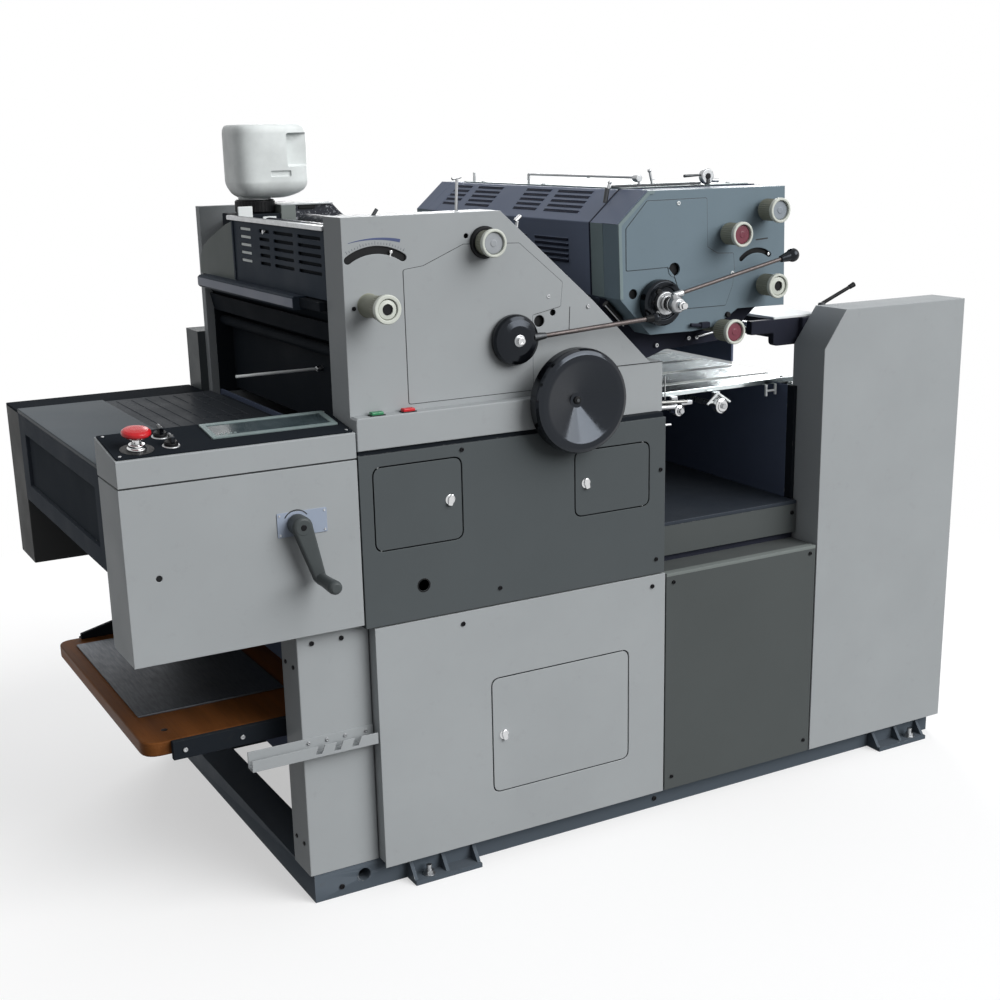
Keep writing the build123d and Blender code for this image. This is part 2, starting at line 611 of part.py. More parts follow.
BOTTLE_X = 249.0
BOTTLE_OFFSET_Y = 222.0
BOTTLE_HALF_LENGTH = 86.0
BOTTLE_HALF_WIDTH = 77.0
BOTTLE_RISE = 14.0
BOTTLE_BODY_HEIGHT = 162.0
BOTTLE_SIDES = 28
BOTTLE_SQUARENESS = 4.0
NECK_X = 218.0
NECK_RADIUS = 34.0
NECK_DROP = 3.0
BOTTLE_CAP_RADIUS = 45.0
BOTTLE_CAP_HEIGHT = 30.0
BOTTLE_STAND_WIDTH = 120.0
BOTTLE_STAND_DROP = 58.0
BOTTLE_Y = CENTRE_Y + BOTTLE_OFFSET_Y
BOTTLE_BOTTOM_Z = UNIT_ONE_TOP_Z + BOTTLE_RISE
BOTTLE_TOP_Z = BOTTLE_BOTTOM_Z + BOTTLE_BODY_HEIGHT


def upright(x, y, steps, sides=DISC_SIDES):
    """A turned piece about a vertical axis, from (radius, z) steps given bottom to top."""
    return many_sided([[(x + u, y + v, z) for u, v in circle_points(radius, sides)] for radius, z in steps])


def squarish_ring(x, y, z, share):
    """Points round the bottle's rounded rectangle, drawn in to the given share of its size."""
    power = 2 / BOTTLE_SQUARENESS
    points = []
    for u, v in circle_points(1, BOTTLE_SIDES):
        points.append((x + share * BOTTLE_HALF_LENGTH * math.copysign(abs(u) ** power, u),
                       y + share * BOTTLE_HALF_WIDTH * math.copysign(abs(v) ** power, v), z))
    return points


def water_bottle():
    """An upturned water bottle on its screwed cap."""
    neck_z = BOTTLE_BOTTOM_Z - NECK_DROP
    rings = [[(NECK_X + u, BOTTLE_Y + v, z) for u, v in circle_points(radius, BOTTLE_SIDES)] for radius, z in
             ((BOTTLE_CAP_RADIUS, neck_z - BOTTLE_CAP_HEIGHT), (BOTTLE_CAP_RADIUS, neck_z), (NECK_RADIUS, neck_z),
              (NECK_RADIUS, BOTTLE_BOTTOM_Z))]
    body = [squarish_ring(BOTTLE_X, BOTTLE_Y, BOTTLE_BOTTOM_Z + rise, share)
            for rise, share in ((0, 0.6), (14, 0.84), (34, 1), (BOTTLE_BODY_HEIGHT - 14, 1), (BOTTLE_BODY_HEIGHT, 0.88))]
    return many_sided(rings) + many_sided(body)


def bottle_stand():
    top = BOTTLE_BOTTOM_Z - NECK_DROP - BOTTLE_CAP_HEIGHT
    half = BOTTLE_STAND_WIDTH / 2
    return block((NECK_X - half, NECK_X + half), (BOTTLE_Y - half, BOTTLE_Y + half),
                 (UNIT_ONE_TOP_Z - BOTTLE_STAND_DROP, top))


# Turned controls

def handwheel():
    """A wheel with a rounded rim, a dished face and its shaft."""
    rim = WHEEL_RADIUS
    hub = 2 * WHEEL_HUB_RADIUS
    outside = ((rim - 14, WHEEL_FRONT_Y), (rim - 4, WHEEL_FRONT_Y + 5), (rim, WHEEL_FRONT_Y + 14),
               (rim, WHEEL_BACK_Y - 8), (rim - 8, WHEEL_BACK_Y))
    shaft = ((hub, WHEEL_BACK_Y), (hub, WHEEL_BACK_Y + 20), (WHEEL_SHAFT_RADIUS, WHEEL_BACK_Y + 20),
             (WHEEL_SHAFT_RADIUS, SHAFT_END_Y))
    dish_floor = WHEEL_FRONT_Y + WHEEL_DISH_DEPTH
    dish = ((rim - WHEEL_RIM_WIDTH, WHEEL_FRONT_Y), (WHEEL_HUB_RADIUS, dish_floor))
    wheel = turned(WHEEL_X, WHEEL_Z, outside, WHEEL_SIDES) + turned(WHEEL_X, WHEEL_Z, shaft)
    return wheel - turned(WHEEL_X, WHEEL_Z, dish, WHEEL_SIDES)


def lever_disc(x, z, radius, front_y):
    disc = turned(x, z, ((radius - 5, front_y), (radius, front_y + 5), (radius, DISC_BACK_Y)), DISC_SIDES)
    return disc + bar(x, z, LEVER_SHAFT_RADIUS, DISC_BACK_Y, SHAFT_END_Y)


def lever_rod(x, z, angle, foot, tip, ball_radius):
    """A rod with a ball at its end; foot and tip are (along, across, y) from the lever's axis."""
    turn = math.radians(angle)
    start, end = [Vector(x + along * math.cos(turn) - across * math.sin(turn), y,
                         z + along * math.sin(turn) + across * math.cos(turn)) for along, across, y in (foot, tip)]
    span = end - start
    section = Plane(origin=start, z_dir=span) * RegularPolygon(LEVER_ROD_RADIUS, PIN_SIDES)
    rod = extrude(section, amount=span.length, dir=span.normalized())
    small = ball_radius / 2
    steps = ((small, end.Y - ball_radius), (ball_radius, end.Y - small), (ball_radius, end.Y + small),
             (small, end.Y + ball_radius))
    return rod + turned(end.X, end.Z, steps, PIN_SIDES)


def left_lever():
    disc = lever_disc(LEFT_LEVER_X, LEFT_LEVER_Z, LEFT_DISC_RADIUS, DISC_FRONT_Y)
    bolt = bar(LEFT_LEVER_X, LEFT_LEVER_Z, LEFT_BOLT_RADIUS, LEFT_BOLT_FRONT_Y, DISC_FRONT_Y)
    foot = (LEFT_DISC_RADIUS * 0.75, 0, LEFT_ROD_Y)
    tip = (LEFT_LEVER_LENGTH, 0, LEFT_BALL_Y)
    return disc + bolt + lever_rod(LEFT_LEVER_X, LEFT_LEVER_Z, LEFT_ROD_ANGLE, foot, tip, LEFT_BALL_RADIUS)


def right_lever():
    disc = lever_disc(RIGHT_LEVER_X, RIGHT_LEVER_Z, RIGHT_DISC_RADIUS, DISC_FRONT_Y)
    hub = bar(RIGHT_LEVER_X, RIGHT_LEVER_Z, LEVER_HUB_RADIUS, LEVER_HUB_FRONT_Y, DISC_FRONT_Y)
    foot = (-LEVER_ROD_RADIUS, RIGHT_ROD_OFFSET, RIGHT_ROD_Y)
    tip = (RIGHT_LEVER_LENGTH, RIGHT_ROD_OFFSET, RIGHT_BALL_Y)
    return disc + hub + lever_rod(RIGHT_LEVER_X, RIGHT_LEVER_Z, RIGHT_ROD_ANGLE, foot, tip, RIGHT_BALL_RADIUS)


def round_knob(x, z, radius, front_y, length, stem_radius, shaft_radius):
    """A knob with a rounded front, a stem in front of the cover and a shaft in the side frame."""
    back = front_y + length
    steps = ((radius - 4, front_y), (radius, front_y + 4), (radius, back), (stem_radius, back), (stem_radius, -SHEET),
             (shaft_radius, -SHEET), (shaft_radius, SHAFT_END_Y))
    return turned(x, z, steps)


def adjuster_knob():
    return round_knob(ADJUSTER_X, ADJUSTER_Z, 28, -90, 30, 16, ROLLER_SHAFT_RADIUS)


def dial():
    return round_knob(DIAL_X, DIAL_Z, 28, -46, 38, 24, ROLLER_SHAFT_RADIUS)


def roller_knob(x, z):
    return round_knob(x, z, ROLLER_KNOB_RADIUS, ROLLER_KNOB_FRONT_Y, ROLLER_KNOB_LENGTH, ROLLER_STEM_RADIUS,
                      ROLLER_SHAFT_RADIUS)


# Printing unit two

def unit_two_covers():
    cover = bored(tray(UNIT_TWO_OUTLINE, 0, FRAME_Y), 2 * SHEET)
    for x, z, radius in COVER_HOLES_TWO:
        cover -= bore(x, z, radius, -1, SHEET + 1)
    return [cover, opposite(tray(UNIT_TWO_OUTLINE, 0, FRAME_Y))]


def unit_two_hood():
    return plate(UNIT_TWO_OUTLINE, FRAME_BACK_Y, INNER_FAR_Y)


# Delivery end

def control_box():
    box = block((BOX_LEFT_X, BOX_RIGHT_X), (COVER_Y, BOX_BACK_Y), (BOX_BOTTOM_Z, BOX_TOP_Z))
    neck = block((BOX_LEFT_X + SEAM, BOX_RIGHT_X - SEAM), (COVER_Y + SEAM, BOX_BACK_Y - SEAM),
                 (BOX_TOP_Z, BOX_TOP_Z + SEAM))
    plate_x = (CRANK_X - CRANK_PLATE_WIDTH / 2 + 12, CRANK_X + CRANK_PLATE_WIDTH / 2 + 12)
    plate_z = (CRANK_Z - CRANK_PLATE_HEIGHT / 2, CRANK_Z + CRANK_PLATE_HEIGHT / 2)
    return box + neck + block(plate_x, (COVER_Y - 2, COVER_Y), plate_z)


def panel_z(y):
    """Height of the sloping control panel at y."""
    share = (y - COVER_Y) / (BOX_BACK_Y - COVER_Y)
    return PANEL_FRONT_Z + share * (PANEL_BACK_Z - PANEL_FRONT_Z)


def wedge(x, y_front, y_back, low, high):
    """A slab along X whose underside and top follow the panel's slope."""
    side = ((y_front, panel_z(y_front) + low), (y_front, panel_z(y_front) + high),
            (y_back, panel_z(y_back) + high), (y_back, panel_z(y_back) + low))
    face = make_face(Polyline(*[(x[0], y, z) for y, z in side], close=True))
    return extrude(face, amount=x[1] - x[0], dir=(1, 0, 0))


def panel_spot(x, y, low, piece):
    """A piece set square on the sloping panel, low above its surface."""
    return Pos(x, y, panel_z(y)) * Rot(PANEL_SLOPE, 0, 0) * Pos(0, 0, low) * piece


def control_panel():
    """The sloping desk with its edged top plate, display and the collar of the stop button."""
    bottom = BOX_TOP_Z + SEAM
    side = ((COVER_Y, bottom), (COVER_Y, panel_z(COVER_Y)), (BOX_BACK_Y, panel_z(BOX_BACK_Y)), (BOX_BACK_Y, bottom))
    face = make_face(Polyline(*[(BOX_LEFT_X, y, z) for y, z in side], close=True))
    desk = extrude(face, amount=BOX_RIGHT_X - BOX_LEFT_X, dir=(1, 0, 0))
    desk += wedge((BOX_LEFT_X + 2, BOX_RIGHT_X - 2), COVER_Y + 2, BOX_BACK_Y - 2, 0, PANEL_SHEET)
    desk += wedge((DISPLAY_LEFT_X, DISPLAY_RIGHT_X), DISPLAY_FRONT_Y, DISPLAY_BACK_Y, 0, PANEL_SHEET + DISPLAY_HEIGHT)
    collar = Cylinder(16, 15, align=(Align.CENTER, Align.CENTER, Align.MIN))
    collar -= Pos(0, 0, 6) * Cylinder(STOP_STEM_RADIUS + SHAFT_PLAY, 20, align=(Align.CENTER, Align.CENTER, Align.MIN))
    return desk + panel_spot(STOP_X, STOP_Y, 0, collar)


def stop_button():
    steps = ((STOP_STEM_RADIUS, 13), (STOP_STEM_RADIUS, 24), (16, 25), (STOP_HEAD_RADIUS, 33), (STOP_HEAD_RADIUS, 39),
             (STOP_HEAD_RADIUS - 8, 44))
    return panel_spot(STOP_X, STOP_Y, 0, upright(0, 0, steps, ROUND_SIDES))


def selector_knob(x, y):
    body = Cylinder(SELECTOR_RADIUS, 10, align=(Align.CENTER, Align.CENTER, Align.MIN))
    body += block((-4, 4), (-SELECTOR_RADIUS, SELECTOR_RADIUS), (9, 22))
    return panel_spot(x, y, PANEL_SHEET, body)


def crank_handle():
    turn = math.radians(CRANK_ANGLE)
    end_x = CRANK_X + CRANK_LENGTH * math.cos(turn)
    end_z = CRANK_Z + CRANK_LENGTH * math.sin(turn)
    hub = bar(CRANK_X, CRANK_Z, 20, CRANK_ARM_FRONT_Y, COVER_Y - 2 - SHAFT_PLAY)
    side = face_at(((CRANK_X - 19, CRANK_Z), (CRANK_X + 19, CRANK_Z), (end_x + 12, end_z), (end_x - 12, end_z)),
                   CRANK_ARM_FRONT_Y)
    arm = extrude(side, amount=CRANK_ARM_BACK_Y - CRANK_ARM_FRONT_Y, dir=(0, 1, 0))
    arm += bar(end_x, end_z, 12, CRANK_ARM_FRONT_Y, CRANK_ARM_BACK_Y)
    grip = turned(end_x, end_z, ((9, CRANK_GRIP_FRONT_Y), (13, CRANK_GRIP_FRONT_Y + 6),
                                 (11, CRANK_ARM_FRONT_Y - 20), (9, CRANK_ARM_FRONT_Y)))
    return hub + arm + grip


def far_box():
    return block((FAR_BOX_LEFT_X, FAR_BOX_RIGHT_X), (BASE_WIDTH - BOX_BACK_Y, FAR_COVER_Y),
                 (FAR_BOX_BOTTOM_Z, FAR_BOX_TOP_Z))


def delivery_table():
    table = block((TABLE_LEFT_X, TABLE_SPLIT_X), (BOX_BACK_Y, BASE_WIDTH - BOX_BACK_Y), (TABLE_BOTTOM_Z, TABLE_TOP_Z))
    recess = block((TABLE_LEFT_X - 1, TABLE_LEFT_X + 10), (BOX_BACK_Y + 60, BASE_WIDTH - BOX_BACK_Y - 60),
                   (TABLE_BOTTOM_Z + 40, TABLE_TOP_Z - 50))
    cover = block((TABLE_SPLIT_X + SEAM, BOX_RIGHT_X), (BOX_BACK_Y, BASE_WIDTH - BOX_BACK_Y),
                  (TABLE_BOTTOM_Z, TABLE_TOP_Z - 4))
    return [table - recess, cover]


def pile_board():
    y = (COLUMN_DEPTH + RAIL_DEPTH + RAIL_PLAY + PILE_BAR_WIDTH,
         BASE_WIDTH - COLUMN_DEPTH - RAIL_DEPTH - RAIL_PLAY - PILE_BAR_WIDTH)
    board = block((PILE_LEFT_X, PILE_RIGHT_X), y, (PILE_TOP_Z - PILE_THICKNESS, PILE_TOP_Z))
    return fillet(board.edges().filter_by(Axis.Z).group_by(Axis.X)[0], PILE_CORNER)


def pile_bars():
    y = (COLUMN_DEPTH + RAIL_DEPTH + RAIL_PLAY, COLUMN_DEPTH + RAIL_DEPTH + RAIL_PLAY + PILE_BAR_WIDTH)
    near = block((PILE_BAR_LEFT_X, PILE_RIGHT_X), y, (PILE_TOP_Z - PILE_BAR_HEIGHT, PILE_TOP_Z))
    return [near, opposite(near)]


def steel_sheet():
    return block((PILE_LEFT_X + STEEL_SHEET_INSET, PILE_RIGHT_X - 2 * STEEL_SHEET_INSET),
                 (CENTRE_Y - STEEL_SHEET_NEAR, CENTRE_Y + STEEL_SHEET_FAR), (PILE_TOP_Z, PILE_TOP_Z + STEEL_SHEET))


def notched_rail():
    x = (NOTCH_RAIL_LEFT_X, NOTCH_RAIL_RIGHT_X)
    bottom = NOTCH_RAIL_BOTTOM_Z
    top = bottom + NOTCH_RAIL_HEIGHT
    rail = block(x, (-NOTCH_RAIL_DEPTH, 0), (bottom, bottom + SHEET))
    rail += block(x, (-NOTCH_RAIL_DEPTH, -NOTCH_RAIL_DEPTH + SHEET), (bottom, top - 10))
    rail += block(x, (-SHEET, 0), (bottom, top))
    for start in NOTCH_X:
        cut = ((start, top), (start + NOTCH_WIDTH, top), (start + NOTCH_WIDTH - NOTCH_SLANT, bottom + 2 * SHEET),
               (start - NOTCH_SLANT, bottom + 2 * SHEET))
        rail -= plate(cut, -NOTCH_RAIL_DEPTH - 1, -NOTCH_RAIL_DEPTH + SHEET + 1)
    return rail


# Body walls between the side frames

def cross_wall(right_x, bottom_z, top_z):
    return block((right_x - 2 * SHEET, right_x), (FRAME_BACK_Y, INNER_FAR_Y), (bottom_z, top_z))


def cross_walls():
    """Sheet walls across the machine: at the delivery, the infeed, the feeder in two parts, and behind unit two."""
    delivery = cross_wall(BODY_LEFT_X + FRAME_MARGIN + 2 * SHEET, WALL_BOTTOM_Z, UNIT_BOTTOM_Z)
    infeed = cross_wall(BODY_RIGHT_X, SHELF_TOP_Z, UNIT_BOTTOM_Z)
    feeder = cross_wall(RIGHT_PANEL_RIGHT_X, WALL_BOTTOM_Z, SHELF_BOTTOM_Z)
    over_shelf = cross_wall(RIGHT_PANEL_RIGHT_X, SHELF_TOP_Z, FEED_BOARD_TOP_Z - FEED_BOARD_THICKNESS)
    behind = cross_wall(CROSS_PANEL_X + 2 * SHEET, CROSS_PANEL_BOTTOM_Z, UNIT_TWO_OUTLINE[4][1])
    return [delivery, infeed, feeder, over_shelf, behind]


def drive_side_cover():
    outline = (
        (BODY_LEFT_X, BASE_HEIGHT), (BODY_LEFT_X, FAR_BOX_BOTTOM_Z), (FAR_BOX_RIGHT_X + SEAM, FAR_BOX_BOTTOM_Z),
        (FAR_BOX_RIGHT_X + SEAM, DRIVE_COVER_TOP_Z), (BODY_RIGHT_X - SEAM, DRIVE_COVER_TOP_Z),
        (BODY_RIGHT_X - SEAM, UNIT_BOTTOM_Z), (RIGHT_PANEL_RIGHT_X, UNIT_BOTTOM_Z),
        (RIGHT_PANEL_RIGHT_X, BASE_HEIGHT),
    )
    cover = plate(outline, INNER_FAR_Y + FRAME_THICKNESS, FAR_COVER_Y)
    cover += block((BODY_LEFT_X, RIGHT_PANEL_RIGHT_X), (BASE_WIDTH, FAR_COVER_Y), (SKIRT_Z, BASE_HEIGHT))
    return cover


# Feed side

def infeed_shelf():
    return block((BODY_RIGHT_X, RIGHT_PANEL_RIGHT_X), (SHELF_FRONT_Y, INNER_FAR_Y + FRAME_THICKNESS),
                 (SHELF_BOTTOM_Z, SHELF_TOP_Z))


def right_panel():
    outline = rectangle(RIGHT_PANEL_LEFT_X, RIGHT_PANEL_RIGHT_X, BASE_HEIGHT, RIGHT_PANEL_TOP_Z)
    panel = tray(outline, COVER_Y, FRAME_Y)
    return panel + block((RIGHT_PANEL_LEFT_X, RIGHT_PANEL_RIGHT_X), (COVER_Y, COVER_Y + SHEET), (SKIRT_Z, BASE_HEIGHT))


def feeder_towers():
    outline = ((TOWER_LEFT_X, BASE_HEIGHT), (TOWER_LEFT_X, TOWER_SHOULDER_Z), (TOWER_SHOULDER_X, TOWER_TOP_Z),
               (TOWER_RIGHT_X, TOWER_TOP_Z), (TOWER_RIGHT_X, BASE_HEIGHT))
    tower = plate(outline, COVER_Y, TOWER_BACK_Y)
    tower += block((TOWER_LEFT_X, TOWER_RIGHT_X), (COVER_Y, 0), (SKIRT_Z, BASE_HEIGHT))
    return [tower, opposite(tower)]


def feed_board():
    return block((FEED_BOARD_LEFT_X, FEED_BOARD_RIGHT_X), (FEED_BOARD_FRONT_Y, BASE_WIDTH - FEED_BOARD_FRONT_Y),
                 (FEED_BOARD_TOP_Z - FEED_BOARD_THICKNESS, FEED_BOARD_TOP_Z))


def cross_shafts():
    z = FEED_BOARD_TOP_Z - FEED_BOARD_THICKNESS - CROSS_SHAFT_RADIUS
    left = bar(BODY_RIGHT_X + 20, z, CROSS_SHAFT_RADIUS, FRAME_BACK_Y - 20, INNER_FAR_Y + 20)
    right = bar(TOWER_LEFT_X + 20, z, CROSS_SHAFT_RADIUS, TOWER_BACK_Y, BASE_WIDTH - TOWER_BACK_Y)
    return [left, right]


def feeder_head():
    y = (TOWER_BACK_Y, BASE_WIDTH - TOWER_BACK_Y)
    top = HEAD_TOP_Z - HEAD_PLATE
    beam = block((HEAD_BEAM_LEFT_X, HEAD_BEAM_RIGHT_X), y, (top - HEAD_BEAM_DEPTH, top))
    arm_y = (TOWER_BACK_Y + 14, TOWER_BACK_Y + 14 + HEAD_ARM_WIDTH)
    arm = block((HEAD_LEFT_X, HEAD_BEAM_LEFT_X), arm_y, (top - HEAD_ARM_HEIGHT, top))
    arm += block((HEAD_BEAM_LEFT_X - HEAD_HOUSING_WIDTH, HEAD_BEAM_LEFT_X), arm_y,
                 (top - HEAD_HOUSING_DEPTH, top - HEAD_ARM_HEIGHT))
    plate_y = (TOWER_BACK_Y + 14, BASE_WIDTH - TOWER_BACK_Y - 14)
    plate_x = (HEAD_BEAM_LEFT_X - HEAD_HOUSING_WIDTH, HEAD_BEAM_RIGHT_X)
    top_plate = block(plate_x, plate_y, (HEAD_TOP_Z - HEAD_PLATE, HEAD_TOP_Z))
    return beam + arm + opposite(arm) + top_plate


FEEDER_PILE_TOP_Z = 450.0


def feeder_pile_board():
    board = block((TOWER_LEFT_X + 20, TOWER_RIGHT_X - 10), (TOWER_BACK_Y + 20, BASE_WIDTH - TOWER_BACK_Y - 20),
                  (FEEDER_PILE_TOP_Z - PILE_THICKNESS, FEEDER_PILE_TOP_Z))
    near = block((TOWER_LEFT_X + 20, TOWER_RIGHT_X - 30), (TOWER_BACK_Y, TOWER_BACK_Y + 20),
                 (FEEDER_PILE_TOP_Z - PILE_BAR_HEIGHT, FEEDER_PILE_TOP_Z))
    return board + near + opposite(near)


def all_pieces():
    pieces = {
        "base_frame": base_frame(),
        "floor_brackets": floor_brackets(),
        "side_frames": side_frames(),
        "delivery_columns": delivery_columns(),
        "cross_walls": cross_walls(),
        "lower_cover": lower_cover(),
        "lower_door": access_door(LOWER_DOOR, 1),
        "middle_cover": middle_cover(),
        "middle_left_door": access_door(MIDDLE_LEFT_DOOR, -1),
        "middle_right_door": access_door(MIDDLE_RIGHT_DOOR, 1),
        "right_panel": right_panel(),
        "drive_side_cover": drive_side_cover(),
        "button_ledge": button_ledge(),
        "unit_one_cover": unit_one_cover(),
        "unit_one_housing": open_housing(),
        "top_rollers": top_rollers(),
        "slotted_guard": slotted_guard(),
        "guide_bar": guide_bar(),
        "water_bottle": water_bottle(),
        "bottle_stand": bottle_stand(),
        "handwheel": handwheel(),
        "left_lever": left_lever(),
        "right_lever": right_lever(),
        "adjuster_knob": adjuster_knob(),
        "dial": dial(),
        "unit_two_covers": unit_two_covers(),
        "unit_two_hood": unit_two_hood(),
        "control_box": control_box(),
        "control_panel": control_panel(),
        "stop_button": stop_button(),
        "selector_left": selector_knob(*SELECTOR_POSITIONS[0]),
        "selector_right": selector_knob(*SELECTOR_POSITIONS[1]),
        "crank_handle": crank_handle(),
        "far_box": far_box(),
        "delivery_table": delivery_table(),
        "pile_board": pile_board(),
        "pile_bars": pile_bars(),
        "steel_sheet": steel_sheet(),
        "notched_rail": notched_rail(),
        "infeed_shelf": infeed_shelf(),
        "feeder_towers": feeder_towers(),
        "feed_board": feed_board(),
        "cross_shafts": cross_shafts(),
        "feeder_head": feeder_head(),
        "feeder_pile_board": feeder_pile_board(),
    }
    for name, x, z in ROLLER_KNOBS:
        pieces["roller_knob_" + name] = roller_knob(x, z)
    return pieces


def row_origin():
    """The middle of the machine's footprint, from the pieces that reach furthest."""
    left = BOX_LEFT_X
    right = TOWER_RIGHT_X
    front = CRANK_GRIP_FRONT_Y
    back = BASE_WIDTH + max(BRACKET_REACH, -COVER_Y)
    return (left + right) / 2, (front + back) / 2


def main():
    os.makedirs("parts", exist_ok=True)
    origin_x, origin_y = row_origin()
    for name, piece in all_pieces().items():
        solids = piece if isinstance(piece, list) else [piece]
        moved = [Pos(-origin_x, -origin_y, 0) * solid for solid in solids]
        shape = moved[0] if len(moved) == 1 else Compound(children=moved)
        export_step(shape, "parts/" + name + ".step")


if __name__ == "__main__":
    main()
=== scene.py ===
"""The looks of a two-colour offset press for small sheets, laid out as an add-on and run as a script."""
import math

import bmesh
import bpy
from bpy.props import FloatProperty, FloatVectorProperty, PointerProperty
from bpy.types import NodeSocket, Operator, Panel, PropertyGroup
from mathutils import Matrix, Vector


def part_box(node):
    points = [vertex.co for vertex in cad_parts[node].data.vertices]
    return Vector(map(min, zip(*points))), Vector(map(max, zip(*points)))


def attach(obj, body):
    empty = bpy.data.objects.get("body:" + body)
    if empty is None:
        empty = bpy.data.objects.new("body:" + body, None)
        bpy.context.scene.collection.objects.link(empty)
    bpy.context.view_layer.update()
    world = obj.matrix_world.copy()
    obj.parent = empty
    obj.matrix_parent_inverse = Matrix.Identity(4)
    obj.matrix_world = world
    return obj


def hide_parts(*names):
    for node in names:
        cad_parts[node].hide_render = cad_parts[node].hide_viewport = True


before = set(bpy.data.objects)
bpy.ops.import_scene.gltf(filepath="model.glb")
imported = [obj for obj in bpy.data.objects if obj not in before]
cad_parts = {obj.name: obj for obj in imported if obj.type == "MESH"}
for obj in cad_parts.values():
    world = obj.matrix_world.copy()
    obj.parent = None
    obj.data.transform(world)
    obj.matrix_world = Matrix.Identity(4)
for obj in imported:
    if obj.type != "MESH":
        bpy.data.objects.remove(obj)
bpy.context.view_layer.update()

bl_info = {
    "name": "Offset press looks",
    "version": (1, 0, 0),
    "blender": (4, 5, 0),
    "location": "3D View > Sidebar > Press",
    "description": "Dresses the packed frame of an offset press with its finished pieces",
    "category": "Object",
}

CORNER = Vector(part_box("base_frame")[0])
MM = 0.001

# Depths on the machine, in millimetres from the front of its base
COVER_Y = -30.0
COVER_INSIDE_Y = -27.0
FRAME_Y = 59.0
FRAME_BACK_Y = 86.0
MID_Y = 478.0
INNER_FAR_Y = 870.0
FAR_FRAME_Y = 897.0

# Widths along the machine and heights above the floor: where things turn, as (x, z)
HANDWHEEL = (617, 1010)
LEFT_LEVER = (497, 1140)
RIGHT_LEVER = (856, 1191)
ADJUSTER = (181, 1231)
DIAL = (436, 1338)
CRANK = (-4, 831)
ROLLER_KNOBS = {"a": (1141, 1374), "b": (1039, 1327), "c": (1141, 1211), "d": (1024, 1119)}
SHAFTS = [(*HANDWHEEL, 15), (*LEFT_LEVER, 12), (*RIGHT_LEVER, 12)]
SHAFTS += [(*place, 8) for place in (ADJUSTER, DIAL, *ROLLER_KNOBS.values())]

# Outlines of the covers and frames, as (x, z)
UNIT_ONE = [(131, 951), (131, 1398), (475, 1398), (696, 1203), (840, 1062), (873, 1062), (873, 951)]
UNIT_TWO = [(761, 1202), (756, 1358), (832, 1424), (1201, 1423), (1208, 1160), (1076, 1161), (1017, 1126),
            (954, 1120), (839, 1121)]
SIDE_FRAME = [(158, 63), (158, 590), (139, 590), (139, 1390), (471, 1390), (696, 1199), (770, 1150),
              (764, 1202), (764, 1354), (836, 1416), (1193, 1416), (1193, 1168), (1090, 1085), (920, 1076),
              (865, 1058), (865, 600), (1305, 600), (1305, 63)]
TOWER = [(1309, 52), (1309, 1053), (1372, 1140), (1750, 1140), (1750, 52)]
DOORS = {
    "lower_door": ((418, 762, 164, 420), 1, "light enamel", "light_grey"),
    "middle_left_door": ((164, 353, 750, 914), -1, "middle enamel", "dark_grey"),
    "middle_right_door": ((631, 815, 755, 891), 1, "middle enamel", "dark_grey"),
}

# The curved slots of both units: centre x and z, radius, width, first and last angle
SLOT_ONE = (200, 1228.5, 106.5, 15, 57, 123)
SLOT_TWO = (1125.7, 1223.9, 62, 11, 55, 133)

# The sloping desk: its front edge and how far it rises over its depth
DESK_Y = -30
DESK_Z = 993
DESK_RISE = 22
DESK_DEPTH = 140
DESK_SLOPE = math.degrees(math.atan2(DESK_RISE, DESK_DEPTH))

# What stands on the desk, as (x, y)
STOP_BUTTON = (-286, 12)
SELECTORS = {"selector_left": (-226, 66), "selector_right": (-222, 12)}


def srgb(red, green, blue):
    """A colour read as a maker's 0 to 255 value, as Blender's linear one."""
    shares = [level / 255 for level in (red, green, blue)]
    return tuple(share / 12.92 if share <= 0.04045 else ((share + 0.055) / 1.055) ** 2.4 for share in shares)


# Properties that a user would change

def colour_property(name, description, red, green, blue):
    return FloatVectorProperty(name=name, description=description, subtype="COLOR", size=3, min=0, max=1,
                               default=srgb(red, green, blue))


class PressColours(PropertyGroup):
    light_enamel: colour_property("Light enamel", "Side covers, towers and control box", 158, 162, 164)
    middle_enamel: colour_property("Middle cover", "Dark cover under the first unit", 80, 85, 87)
    panel_enamel: colour_property("Right panel", "Panel under the shelf", 79, 83, 83)
    unit_enamel: colour_property("Unit two cover", "Grey-green side cover of the second unit", 111, 126, 135)
    hood_enamel: colour_property("Hood", "Dark louvred hood", 110, 119, 138)
    base_enamel: colour_property("Base", "Slate paint of the base", 79, 87, 95)
    table_enamel: colour_property("Table", "Delivery table and its skirt", 62, 68, 76)
    far_enamel: colour_property("Far box", "Box on the drive side", 78, 79, 79)
    black_plastic: colour_property("Black plastic", "Lever discs, balls and selector grips", 9, 10, 13)
    cream_plastic: colour_property("Knob plastic", "Rings and bodies of the small knobs", 197, 201, 192)
    red_plastic: colour_property("Red plastic", "Stop button and push button", 190, 26, 34)
    wood: colour_property("Pile board", "Varnished wood of the pile board", 108, 66, 34)
    bottle: colour_property("Bottle", "Water bottle", 214, 219, 218)


class PressSizes(PropertyGroup):
    wear: FloatProperty(name="Edge wear", description="How much paint has worn off the edges", default=0.5,
                        min=0, max=1, subtype="FACTOR")


# Material building

